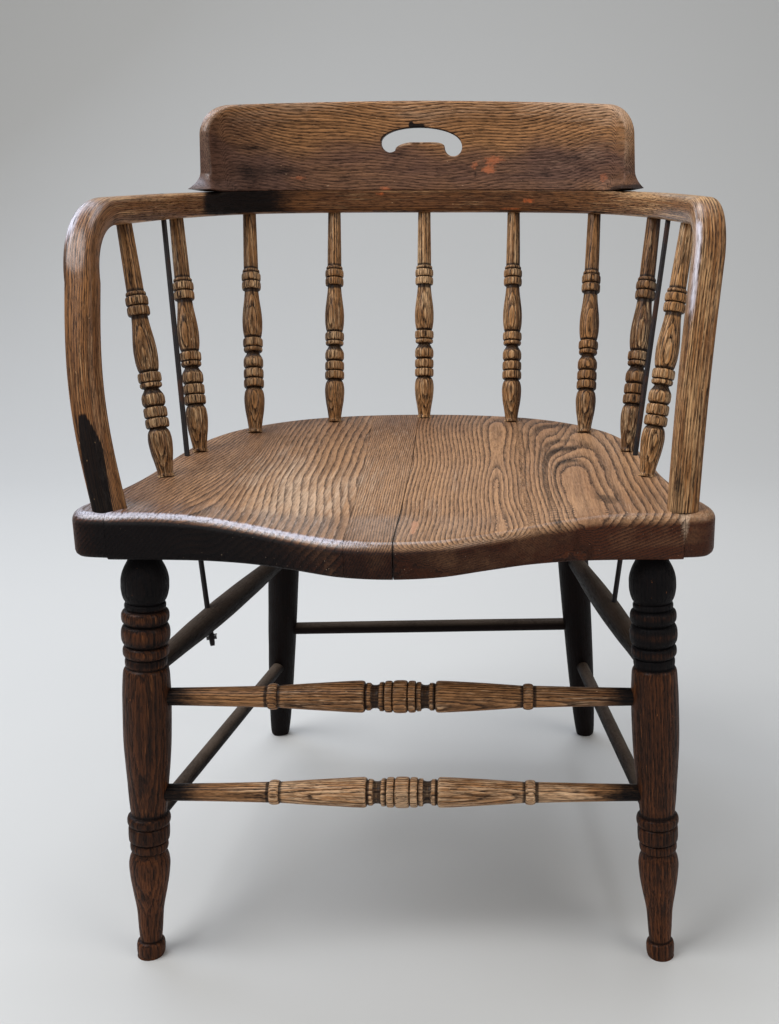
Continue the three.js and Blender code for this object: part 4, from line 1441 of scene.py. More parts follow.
    def build(self, workshop: Workshop) -> None:
        """Build the bow.

        Args:
            workshop: Where it is made.
        """
        line = self.line()
        at = np.linspace(0, line.length, self.rail_steps + 1)
        zeros = np.zeros(len(at))
        left, left_out, left_bend, left_foot = self._arm(Side.LEFT)
        right, right_out, right_bend, right_foot = self._arm(Side.RIGHT)
        centres = np.vstack((left[:0:-1], line.point(at), right[1:]))
        outs = np.vstack((
            np.tile(left_out, (len(left) - 1, 1)), line.outward(at),
            np.tile(right_out, (len(right) - 1, 1)),
        ))
        bends = np.concatenate((left_bend[:0:-1], zeros, right_bend[1:]))
        feet = np.concatenate((left_foot[:0:-1], zeros, right_foot[1:]))
        chamfer = np.concatenate((left_foot[:0:-1], zeros, 0 * right_foot[1:]))
        steps = np.linalg.norm(np.diff(centres, axis=0), axis=1)
        travel = np.concatenate(((0.0,), np.cumsum(steps)))
        travels = units(np.gradient(centres, axis=0))
        across = units(outs - travels * (outs * travels).sum(axis=1, keepdims=True))
        lift = np.cross(travels, across)
        width = lerp(lerp(self.rail_width, self.post_width, bends), self.foot_width, feet) / 2
        height = lerp(lerp(self.rail_height, self.post_depth, bends), self.foot_depth, feet) / 2
        plain, faceted, flat = (
            self._rounded_section(corners)[None]
            for corners in (self.section, self.chamfered, self.flat_topped))
        past_crest = np.abs(travel - travel[-1] / 2) - self.crest_reach
        under_crest = 1 - smooth(past_crest, *self.crest_fade)
        section = lerp(plain, faceted, chamfer[:, None, None]) * self.section_swell
        section = lerp(section, flat, under_crest[:, None, None])
        points = (
            centres[:, None] + across[:, None] * (section[..., :1] * width[:, None, None])
            + lift[:, None] * (section[..., 1:] * height[:, None, None])
        )
        for end in (0, -1):
            fall = (points[end][:, 2] - self.foot[2]) / travels[end][2]
            points[end] -= travels[end] * fall[:, None]
        shape = self._dressed(points, section, travel, width, height)
        workshop.add("fine_arm_bow", shape, ARM_FINISH, "arm_bow")

    def _dressed(self, points: Array, section: Array, travel: Array, width: Array,
                 height: Array) -> Shape:
        """Give the bow its grain and marks.

        Args:
            points: Its rings of points.
            section: Its section at each ring, from -1 to 1 each way.
            travel: How far each ring lies along the bow.
            width: Half the width of each ring.
            height: Half the height of each ring.

        Returns:
            The bow's shape.
        """
        rings, count = section.shape[:2]
        a, b = section[..., 0] * width[:, None], section[..., 1] * height[:, None]
        along = np.broadcast_to(travel[:, None], (rings, count))
        grain = np.stack((a, b, along), axis=-1).reshape(-1, 3) + self.grain_start
        ring = (0.55 * a + 0.8 * b + 0.011 * (along - travel[-1] / 2)).ravel() / 1.4
        flat = points.reshape(-1, 3)
        marks = {Mark.RING: ring, **self._wear(flat, *section.reshape(-1, 2).T)}
        return Shape(flat, skin(rings, count), grain, marks, 35.0)

    def _wear(self, points: Array, outside: Array, front: Array) -> dict[Mark, Array]:
        """Lay out the wear, the grime, the stains and the painted glints of the bow.

        Args:
            points: Its points.
            outside: How far they lie toward the bow's outer side, from -1 to 1.
            front: How far they lie toward its upper or front side, from -1 to 1.

        Returns:
            Its marks.
        """
        x, y, z = points.T
        back = smooth(y, 300.0, 420.0)
        face = (outside < 0) * (y > 300.0)
        under = smooth(-front, 0.7, 0.95) * smooth(z, 650.0, 672.0)
        shade = 0.05 + 0.4 * back + 0.14 * smooth(np.abs(x), 200.0, 250.0) * (1 - back)
        worn = (0.22 + 0.12 * smooth(x, 150.0, 240.0)) * (1 - back) + 0.35 * under
        worn = worn + 0.3 * smooth(z, 694.0, 700.0) * (1 - 0.6 * back) + 0.15 * back
        worn = worn + 0.2 * smooth(x, 185.0, 200.0)
        # Painted glint down the inner edge of the right post.
        streak = ridge(outside, -0.78, 0.24) * smooth(front, 0.0, 0.4) * (x > 230.0)
        streak = streak * smooth(z, 570.0, 620.0) * (1 - smooth(z, 676.0, 690.0))
        # Painted glint over the left bend.
        bend = ridge(z, 678.0, 20.0) * smooth(outside, -0.1, 0.6) * (x < -240.0) * (y < 260.0)
        rise = (z - self.foot[2] - 5.0) / 75.0
        inner, outer = lerp(-0.42, -0.8, rise), lerp(0.95, 0.42, rise)
        patch_top = 522.0 - 14.0 * ((outside - 0.11) / 0.53) ** 2
        patch = smooth(outside - inner, -0.07, 0.07) * (1 - smooth(outside - outer, -0.07, 0.07))
        patch = patch * smooth(front, -0.1, 0.15) * (1 - smooth(z - patch_top, -2.0, 2.0)) * (x < -200.0)
        blotch = 1 - smooth(np.hypot((x - 244.0) / 9.0, (z - 462.0) / 30.0), 0.0, 1.4)
        blotch = 0.55 * blotch * smooth(front, 0.4, 0.9) * (x > 0)
        burnt = smooth(x, -237.0, -227.0) * (1 - smooth(x, -190.0, -114.0)) * (y > 300.0)
        burnt = 0.85 * burnt * (outside < 0.6) * (1 - 0.7 * under)
        gloss = 0.3 * smooth(-x, 262.0, 280.0) * smooth(z, 520.0, 600.0)
        gloss = gloss + 0.25 * smooth(-x, 255.0, 275.0) * (z > 640.0)
        bend_gloss = 0.9 * smooth(-x, 250.0, 268.0) * smooth(outside, 0.1, 0.7)
        right_gloss = 0.95 * smooth(x, 245.0, 262.0) * smooth(-outside, 0.25, 0.8)
        gloss = gloss + bend_gloss * smooth(z, 640.0, 660.0) + right_gloss * smooth(z, 580.0, 640.0)
        return {
            Mark.SHADE: shade, Mark.WORN: worn, Mark.BLOOM: 0.8 * streak + 0.8 * bend,
            Mark.SOOT: patch + blotch + burnt + self.scorch.over(x, z) * face,
            Mark.GROOVE: 0.5 * (1 - smooth(z, 440.0, 447.0)), Mark.GLOSS: gloss,
            Mark.FILLER: spotted(self.orange, x, z) * face,
        }


@dataclass
class CrestRail:
    """The crest rail on the bow, with its hand hole, flared ends and rounded upper corners."""

    bow: ArmBow
    half_length: float = 266.0
    height: float = 101.0
    crown: float = 10.0
    flare: float = 20.0
    flare_height: float = 24.0
    corner_reach: float = 50.0
    corner_height: float = 34.0
    left_extra: float = 4.0
    left_flare: float = 24.0
    tip_lift: float = 3.2
    tip_share: float = 0.9
    base_thickness: float = 28.0
    top_thickness: float = 17.0
    lean: float = 13.0
    hollow: float = 3.0
    end_thinning: tuple[float, float] = (11.0, 5.0)
    end_thinning_height: float = 14.0
    end_shares: tuple[float, float] = (0.77, 0.98)
    gap: float = 0.3
    hole_half: float = 48.0
    hole_shift: float = -2.0
    hole_top: float = 70.7
    hole_bottom: float = 38.2
    left_rise: float = 4.5
    bump_top: float = 54.2
    bump_half: float = 27.0
    slant_angle: float = -0.9
    slant_drop: float = 2.5
    flat_half: float = 11.0
    arris: float = 1.2
    front_round: float = 4.5
    column: float = 4.0
    row: float = 4.0
    fine_columns: tuple[Place, ...] = ((239.0, 273.0, 2.0), (-53.0, 51.0, 2.0))
    fine_rows: tuple[Place, ...] = ((82.7, 99.7, 2.0), (36.0, 80.0, 1.0))
    weld: float = 0.02
    grain_start: float = 500.0
    orange: tuple[Spot, ...] = (
        Spot(84, 34, 20, 8, 0.6), Spot(78, 22, 10, 5, 0.7), Spot(-45, 2, 11, 4, 0.65),
        Spot(232, 14, 10, 9, 0.55), Spot(-150, 14, 18, 5, 0.5), Spot(60, 27, 6, 7, 0.5))
    blots: tuple[Spot, ...] = (
        Spot(-205, 47, 34, 4, 0.6), Spot(-30, 40, 16, 4, 0.5), Spot(30, 12, 22, 5, 0.46),
        Spot(180, 36, 24, 6, 0.46), Spot(150, 18, 14, 5, 0.46), Spot(62, 18, 3, 4, 0.6),
        Spot(-165, 22, 26, 10, 0.5), Spot(-215, 20, 27, 16, 0.6), Spot(-95, 16, 30, 7, 0.42),
        Spot(-40, 26, 22, 5, 0.42), Spot(205, 24, 18, 6, 0.44), Spot(-225, 62, 20, 9, 0.4))
    chips: tuple[Spot, ...] = (
        Spot(-7.0, 72.5, 9.5, 3.0, powers=(6, 4)), Spot(-14.0, 75.0, 2.5, 3.0, powers=(4, 4)))

    def _half_at(self, share: float, side: Side) -> float:
        """Measure half the rail's length.

        Args:
            share: Share of the height.
            side: The side toward which it is measured.

        Returns:
            The length from the middle to that end.
        """
        to_left = side is Side.LEFT
        flare = max(0.0, 1 - share * self.height / self.flare_height)
        corner = max(0.0, 1 - (1 - share) * self.height / self.corner_height)
        rounding = self.corner_reach * (1 - math.sqrt(1 - corner ** 2))
        length = self.half_length + (self.left_extra if to_left else 0.0)
        return length + (self.left_flare if to_left else self.flare) * flare ** 2 - rounding

    def _top_at(self, x: float) -> float:
        """Return the height of the top edge."""
        return self.height - self.crown * (x / self.half_length) ** 2

    def _outline(self) -> list[Knot]:
        """Trace the outer outline, laid flat.

        Returns:
            The outline from the lower right end over the top to the lower left end.
        """
        corner = 1 - (self.corner_height / self.height) * (1 - np.sin(np.linspace(0, np.pi / 2, 20)))
        shares = np.concatenate((np.linspace(0, 0.26, 14), np.linspace(0.3, 0.65, 8), corner))
        right, left = ([
            (side.value * self._half_at(share, side), share * self._top_at(self._half_at(share, side)))
            for share in shares] for side in (Side.RIGHT, Side.LEFT))
        top = [(x, self._top_at(x)) for x in np.linspace(right[-1][0], left[-1][0], 60)[1:-1]]
        return right + top + left[::-1]

    def _hole(self) -> list[Knot]:
        """Trace the kidney-shaped hand hole, laid flat.

        Returns:
            Its arched top, its right lobe, the bump between the lobes and its left lobe.
        """
        half, bump, rise = self.hole_half, self.bump_half, self.bump_top
        lobe = (half - bump) / 2
        right = self.hole_bottom + lobe
        left = right + self.left_rise
        arch = lerp((left + right) / 2, self.hole_top, 4 / 3)
        t = np.linspace(0, 1, 34)
        rows = [(
            half * (2 * t - 1) * (1 + 2 * t * (1 - t)),
            (1 - t) ** 3 * left + 3 * ((1 - t) ** 2 * t + (1 - t) * t ** 2) * arch + t ** 3 * right,
        )]
        angle = np.linspace(0, -math.pi, 12)[1:]
        rows.append((half - lobe + lobe * np.cos(angle), right + lobe * np.sin(angle)))
        rows.append(arc((bump, right), (bump, rise), (bump / 2, rise), np.linspace(0, 1, 7)[1:]))
        slant_x, slant_h = lobe * math.cos(self.slant_angle), lobe * math.sin(self.slant_angle)
        rows.append(arc(
            (-bump / 2, rise), (slant_x - lobe - bump, rise - self.slant_drop),
            (lobe - half + slant_x, left + slant_h), np.linspace(0, 1, 9)))
        angle = np.linspace(self.slant_angle, -math.pi, 10)[1:-1]
        rows.append((-half + lobe + lobe * np.cos(angle), left + lobe * np.sin(angle)))
        return [(x + self.hole_shift, h) for row in rows for x, h in zip(*row)]

    def _flat(self) -> tuple[Array, Faces]:
        """Saw out the board with eased edges, laid flat, and cut it into small faces.

        Returns:
            Its points and faces.
        """
        curve = bpy.data.curves.new("crest_outline", "CURVE")
        curve.dimensions = "2D"
        curve.fill_mode = "BOTH"
        curve.extrude = self.flat_half - self.arris
        curve.bevel_depth = self.arris
        curve.bevel_resolution = 2
        curve.offset = -self.arris
        for loop in (self._outline(), self._hole()):
            spline = curve.splines.new("POLY")
            spline.points.add(len(loop) - 1)
            spline.use_cyclic_u = True
            for point, (x, h) in zip(spline.points, loop):
                point.co = (x, h, 0.0, 1.0)
        holder = bpy.data.objects.new("crest_outline", curve)
        bpy.context.scene.collection.objects.link(holder)
        flat = bpy.data.meshes.new_from_object(
            holder.evaluated_get(bpy.context.evaluated_depsgraph_get()))
        bpy.data.objects.remove(holder)
        mesh = bmesh.new()
        mesh.from_mesh(flat)
        bmesh.ops.remove_doubles(mesh, verts=mesh.verts[:], dist=self.weld)
        reach = self.half_length + self.left_extra + self.left_flare
        ends, middle = (np.arange(*span) for span in self.fine_columns)
        columns = np.concatenate((np.arange(-reach, reach, self.column), ends, -ends, middle))
        rows = np.concatenate((
            np.arange(0, self.height, self.row), *(np.arange(*span) for span in self.fine_rows)))
        cuts = [((x, 0, 0), (1, 0, 0)) for x in columns] + [((0, h, 0), (0, 1, 0)) for h in rows]
        for place, normal in cuts:
            bmesh.ops.bisect_plane(
                mesh, geom=mesh.verts[:] + mesh.edges[:] + mesh.faces[:], plane_co=place, plane_no=normal)
        bmesh.ops.recalc_face_normals(mesh, faces=mesh.faces[:])
        bpy.data.meshes.remove(flat)
        bpy.data.curves.remove(curve)
        return unpacked(mesh)

    def build(self, workshop: Workshop) -> None:
        """Build the crest rail.

        Args:
            workshop: Where it is made.
        """
        flat, faces = self._flat()
        along, height, depth = flat.T
        past = np.clip(1 - self._gap_to(self._outline(), along, height) / self.front_round, 0, 1)
        ease = self.front_round * (1 - np.sqrt(1 - past ** 2)) * smooth(height, 6.0, 26.0)
        depth = depth - np.where(depth > 0, ease, 0.0)
        grain = np.stack((height, depth, along), axis=1) + self.grain_start
        points, marks = self._bent(along, height, depth), self._marks(along, height, depth, past)
        workshop.add(
            "fine_crest_rail", Shape(points, faces, grain, marks, 35.0), CREST_FINISH, "crest_rail")

    @staticmethod
    def _gap_to(loop: Sequence[Knot], along: Array, height: Array, closed: bool = False) -> Array:
        """Measure how far places lie from an outline.

        Args:
            loop: The outline.
            along: Places along the rail.
            height: Their heights.
            closed: Whether the outline comes back to its start.

        Returns:
            The distances.
        """
        knots = np.c_[np.array(loop), np.zeros(len(loop))]
        edge = SplineLine(knots, closed=closed, per_span=2 if closed else 4).samples
        return np.min(np.hypot(along[:, None] - edge[:, 0], height[:, None] - edge[:, 1]), axis=1)

    def _bent(self, along: Array, height: Array, depth: Array) -> Array:
        """Bend the flat board round the bow, and lean and hollow it.

        Args:
            along: Places along the rail.
            height: Their heights.
            depth: Their places through its thickness.

        Returns:
            The bent points.
        """
        across = along / self.half_length
        share = np.clip(height / self.height, 0, 1)
        line = self.bow.line()
        at = line.length / 2 + along
        half = lerp(self.base_thickness, self.top_thickness, share) / 2
        place = -depth / self.flat_half
        lean = self.lean * np.clip(1 - across ** 2, 0, 1) * share
        thinned = lerp(*self.end_thinning, share) * smooth(height, 0.0, self.end_thinning_height)
        thinned = thinned * smooth(np.abs(across), *self.end_shares)
        out = lean + place * half + (self.hollow * np.sin(np.pi * share) + thinned) * (1 - place) / 2
        points = line.point(at) + line.outward(at) * out[:, None]
        far = np.where(along < 0, self.left_extra + self.left_flare, self.flare) + self.half_length
        tip = np.clip(np.abs(along) / far - self.tip_share, 0, 1) / (1 - self.tip_share)
        points[:, 2] = self.bow.top + self.gap + lerp(height, height + self.tip_lift * tip, 1 - share)
        return points

    def _marks(self, along: Array, height: Array, depth: Array, past: Array) -> dict[Mark, Array]:
        """Lay out the rings, the wear, the grime, the stains, the painted shade and the painted
        highlights of the crest rail.

        Args:
            along: Places along the rail.
            height: Their heights.
            depth: Their places through its thickness.
            past: How far they lie over its rounded rim, from 0 to 1.

        Returns:
            Its marks.
        """
        ends = np.abs(along)
        sag = 30.0 * (1 - (along / self.half_length) ** 2) + 120.0 * smooth(ends, 226.0, 288.0) ** 2
        sag = sag + 3.0 * np.sin(along / 23.0 + height / 30.0)
        level = height + 6 * np.sin(along / 40.0) + 4 * np.sin(along / 13.0)
        shade = 0.02 + 0.8 * (1 - smooth(level, 34.0, 66.0))
        shade = shade + 0.6 * smooth(-along, 140.0, 240.0) * (1 - smooth(height, 70, 95))
        gap = self._gap_to(self._hole(), along, height, closed=True)
        above = smooth(height, 50.0, 60.0)
        bump = ridge(along, self.hole_shift, self.bump_half, 6) + 0.5 * (1 - smooth(height, 38.0, 43.0))
        # Pale lip on the hole's lower rim, in the worn colour: wear and painted light on its
        # upward-facing edge.
        lip = (1 - smooth(gap, 1.2, 4.0)) * (1 - above) * (depth > 0) * np.clip(bump, 0, 1)
        fair = smooth(along, 120.0, 235.0) * smooth(height, 20.0, 60.0) * 0.45
        # Rounded rims of the ends take the worn colour: wear and a painted highlight; they also carry
        # some gloss.
        round_end = smooth(past, 0.05, 0.5) * smooth(ends, 225.0, 255.0) * smooth(height, 4.0, 30.0)
        # Dark seam at the base, and painted shade with grime along the hole's upper wall.
        groove = 0.5 * (1 - smooth(height, 0.0, 2.0)) + (1 - smooth(gap, 0.9, 2.0)) * above
        right_end = smooth(along, 240.0, 262.0) * (1 - smooth(height, 2.0, 9.0))
        dark = 0.4 * smooth(-along, 165.0, 215.0) * (1 - smooth(height, 4.0, 34.0))
        corner = smooth(past, 0.0, 0.4) * smooth(-along, 180.0, 230.0)
        stains = (dark, spotted(self.blots, along, height), spotted(self.chips, along, height))
        return {
            Mark.RING: (height + sag - depth * 0.8) / 3.6, Mark.SHADE: shade,
            Mark.WORN: 0.45 * smooth(height, 55.0, 98.0) + 1.1 * lip + fair + 0.3 * round_end,
            Mark.GROOVE: groove + 0.9 * right_end, Mark.SOOT: np.maximum.reduce(stains),
            Mark.FILLER: spotted(self.orange, along, height),
            Mark.GLOSS: 0.15 * round_end + 0.5 * corner,
        }


# -------------------------------------------------------------------------------------------------
# Turned pieces


@dataclass
class SpindleSet:
    """The nine turned spindles between the seat and the bow."""

    seat: Seat
    bow: ArmBow
    radius: float = 11.4
    foot_shares: tuple[Knot, ...] = (
        (0, 0.954), (0.371, 0.905), (0.664, 0.787), (0.804, 0.594), (0.832, 0.382))
    runs: tuple[Run, ...] = (
        ((0, 0.7), (0.0045, 0.7), (0.0075, 0.64), (0.05, 0.75), (0.1, 0.93), (0.145, 1), (0.175, 0.93),
         (0.192, 0.76), (0.197, 0.66)),
        bead(0.197, 0.2365, 0.82, 0.99),
        ((0.2365, 0.72), (0.2395, 0.72)),
        bead(0.2395, 0.281, 0.84, 0.98),
        ((0.281, 0.7), (0.288, 0.86), (0.3, 0.97), (0.318, 0.97), (0.333, 0.88), (0.345, 0.72),
         (0.356, 0.6)),
        ((0.356, 0.6), (0.36, 0.82), (0.367, 0.92), (0.375, 0.92), (0.379, 0.86)),
        ((0.379, 0.74), (0.382, 0.74)),
        bead(0.382, 0.42, 0.84, 0.98),
        ((0.42, 0.72), (0.427, 0.82), (0.445, 0.91), (0.47, 0.97), (0.5, 0.985), (0.53, 0.95),
         (0.57, 0.85), (0.61, 0.74), (0.643, 0.68)),
        bead(0.645, 0.682, 0.8, 0.94),
        ((0.682, 0.7), (0.685, 0.7)),
        bead(0.685, 0.72, 0.82, 0.95),
        ((0.72, 0.7), (0.7225, 0.7)),
        ((0.7225, 0.82), (0.727, 0.85), (0.733, 0.84), (0.737, 0.78)),
        ((0.737, 0.72), (0.8, 0.71), (0.9, 0.68), (1, 0.65)),
    )
    shades: tuple[float, ...] = (0.3, 0.28, 0.25, 0.2, 0.1, 0.15, 0.3, 0.45, 0.05)
    lower_by: tuple[float, ...] = (0.012, 0.0, 0.0, 0.0, 0.0, 0.0, 0.014, 0.0, 0.0)
    turn_spread: float = 0.35
    overrun: Knot = (1.0, 2.0)

    def _sagged(self, fall: float) -> tuple[Run, ...]:
        """Return the profile with its middle moved down by a share of the length."""
        return tuple(
            tuple((at - 4 * fall * at * (1 - at), wide) for at, wide in run) for run in self.runs)

    def build(self, workshop: Workshop) -> None:
        """Build the spindles from the left arm to the right arm.

        Args:
            workshop: Where they are made.
        """
        plan = self.bow.plan()
        last = len(self.foot_shares) - 1
        for number, tint in enumerate(self.shades):
            index, sign = abs(number - last), np.sign(number - last)
            foot = self.seat.place(*self.foot_shares[index], self.seat.top) * (sign, 1, 1)
            head = np.array((sign * plan[index][0], plan[index][1], self.bow.rail_bottom))
            draw = np.random.default_rng(100 + number)
            turning = Turning(
                self._sagged(self.lower_by[number]), self.radius, ring_width=draw.uniform(1.7, 2.2),
                pith=(draw.uniform(18, 26), draw.uniform(-3, 3)),
            )
            turn = math.pi / 2 + draw.uniform(-self.turn_spread, self.turn_spread)
            shape = turning.shape(foot, head, 200 + number, turn=turn, overrun=self.overrun)
            rings = shape.points.reshape(-1, turning.sides, 3)
            outer = (rings[..., 0] - rings[..., 0].mean(axis=1, keepdims=True)).ravel()
            outer = outer / self.radius * sign
            height = shape.points[:, 2]
            glue = 1 - smooth(height - self.seat.top, 0.6, 1.6)
            marks = shape.marks
            # Outer sides darker, and nearly black on the darker spindles; painted shade at the top where
            # the spindle meets the bow.
            marks[Mark.SHADE] = tint + 0.6 * smooth(outer, 0.1, 0.85) + 0.3 * smooth(height, 655.0, 672.0)
            marks[Mark.SOOT] = 0.4 * smooth(outer, 0.45, 0.95) * (tint > 0.2)
            marks[Mark.GROOVE] = marks[Mark.GROOVE] * (1 - glue)
            marks[Mark.WORN] = marks[Mark.WORN] + 0.42 * (1 - tint) + 1.2 * glue
            workshop.add(f"fine_spindle_{number + 1}", shape, SPINDLE_FINISH, f"spindle_{number + 1}")


@dataclass
class Leg:
    """One leg: its foot on the floor, its head under the seat and what it is turned to."""

    name: str
    foot: Array
    head: Array
    turning: Turning
    finish: WoodFinish
    overrun: Knot = (10.0, 2.0)

    def at(self, height: float) -> Array:
        """Return the point of the axis at a height."""
        return lerp(self.foot, self.head, height / (self.head[2] - self.foot[2]))

    def build(self, workshop: Workshop, seed: int, marks: Callable[[Array], dict[Mark, Array]]) -> None:
        """Build the leg.

        Args:
            workshop: Where it is made.
            seed: Seed of its irregularities.
            marks: Returns its own marks from its points.
        """
        shape = self.turning.shape(self.foot, self.head, seed, turn=seed * 1.3, overrun=self.overrun)
        shape = trimmed(shape, 0.0)
        shape.marks.update(marks(shape.points))
        workshop.add(f"fine_{self.name}", shape, self.finish, self.name)


@dataclass
class LegSet:
    """Two turned front legs and two plain tapered back legs."""

    seat_bottom: float = 398.0
    front_head: tuple[float, float] = (226.0, 30.0)
    front_splay: tuple[float, float] = (19.0, -24.0)
    front_radius: float = 21.7
    back_head: dict[Side, tuple[float, float]] = field(
        default_factory=lambda: {Side.LEFT: (155.5, 352.0), Side.RIGHT: (167.0, 352.0)})
    back_foot: tuple[float, float] = (204.0, 476.0)
    back_radius: float = 19.0
    front_runs: tuple[Run, ...] = (
        ((0, 0.57), (0.012, 0.61), (0.025, 0.615), (0.036, 0.58), (0.039, 0.47)),
        ((0.039, 0.47), (0.065, 0.51), (0.116, 0.565), (0.174, 0.735), (0.215, 0.84), (0.24, 0.87),
         (0.258, 0.83), (0.27, 0.74), (0.275, 0.7)),
        bead(0.276, 0.299, 0.72, 0.81, 2.6),
        ((0.3, 0.76), (0.304, 0.855), (0.32, 0.875), (0.336, 0.865), (0.34, 0.78)),
        bead(0.342, 0.366, 0.8, 0.91, 2.6),
        ((0.368, 0.74), (0.403, 0.805), (0.45, 0.87), (0.494, 0.935), (0.563, 0.995), (0.62, 1.005),
         (0.6585, 1), (0.7, 0.97), (0.722, 0.94), (0.7295, 0.88), (0.732, 0.8)),
        bead(0.734, 0.755, 0.8, 0.87, 3.0),
        bead(0.757, 0.784, 0.8, 0.955, 2.6),
        bead(0.786, 0.834, 0.8, 1.0, 2.6),
        bead(0.836, 0.868, 0.8, 0.97, 2.6),
        bead(0.87, 0.8845, 0.76, 0.84, 3.0),
        ((0.8845, 0.76), (0.893, 0.865), (0.906, 0.94), (0.92, 0.975), (0.935, 0.975), (0.95, 0.935),
         (0.965, 0.84), (0.98, 0.7), (0.99, 0.61), (1, 0.57)),
    )
    back_runs: tuple[Run, ...] = (
        ((0, 0.55), (0.006, 0.6), (0.015, 0.63), (0.15, 0.78), (0.3, 0.87), (0.63, 0.96), (0.9, 0.97),
         (0.95, 0.92), (0.972, 0.7), (0.98, 0.66), (1, 0.66)),
    )

    def _leg(self, end: str, side: Side, foot: Knot, head: Knot, turning: Turning,
             finish: WoodFinish) -> Leg:
        """Set out a leg.

        Args:
            end: Front or back.
            side: Its side of the chair.
            foot: Its foot on the floor, as on the right side.
            head: Its head under the seat, as on the right side.
            turning: What it is turned to.
            finish: What it is dressed in.

        Returns:
            The leg.
        """
        low, high = (
            np.array((side.value * x, y, z)) for (x, y), z in ((foot, 0.0), (head, self.seat_bottom)))
        return Leg(f"{end}_leg_{side.word}", low, high, turning, finish)

    def front(self, side: Side) -> Leg:
        """Set out a front leg.

        Args:
            side: Its side of the chair.

        Returns:
            The leg.
        """
        foot = (self.front_head[0] + self.front_splay[0], self.front_head[1] + self.front_splay[1])
        turning = Turning(self.front_runs, self.front_radius, sides=48, ring_width=3.4, pith=(70.0, 10.0))
        return self._leg("front", side, foot, self.front_head, turning, LEG_FINISH)

    def back(self, side: Side) -> Leg:
        """Set out a back leg.

        Args:
            side: Its side of the chair.

        Returns:
            The leg.
        """
        turning = Turning(
            self.back_runs, self.back_radius, sides=40, step=5.0, ring_width=3.0, pith=(60.0, 10.0))
        return self._leg("back", side, self.back_foot, self.back_head[side], turning, DARK_FINISH)

    def _front_marks(self, points: Array) -> dict[Mark, Array]:
        """Lay out the black ball, the sooty collars and the browner shaft of a front leg.

        Args:
            points: The leg's points.

        Returns:
            Its own marks.
        """
        share = points[:, 2] / self.seat_bottom
        ball = smooth(share, 0.866, 0.888)
        beads = smooth(share, 0.725, 0.735) * (1 - ball)
        ribs = 0.5 + 0.5 * np.cos((share - 0.772) / 0.0445 * 2 * np.pi)
        foot = 0.4 * (1 - smooth(share, 0.03, 0.06))
        low_rings = smooth(share, 0.262, 0.278) * (1 - smooth(share, 0.372, 0.4))
        right = beads * (points[:, 0] > 0)
        return {
            Mark.SOOT: ball + beads * (0.62 - 0.42 * ribs) + 0.4 * right + foot * 0.6 + 0.4 * low_rings,
            Mark.SHADE: 0.4 + 0.15 * smooth(share, 0.4, 0.6) - 0.2 * (1 - smooth(share, 0.2, 0.3)),
            Mark.WORN: 0.12 + 0.15 * beads * ribs + 0.15 * smooth(share, 0.62, 0.72) * (1 - beads - ball),
        }

    @staticmethod
    def _back_marks(points: Array) -> dict[Mark, Array]:
        """Return the plain dark of a back leg."""
        return {Mark.SHADE: np.full(len(points), 0.8), Mark.SOOT: np.full(len(points), 0.2)}

    def build(self, workshop: Workshop) -> None:
        """Build the four legs.

        Args:
            workshop: Where they are made.
        """
        for number, side in enumerate(Side):
            self.front(side).build(workshop, 11 + number, self._front_marks)
            self.back(side).build(workshop, 21 + number, self._back_marks)


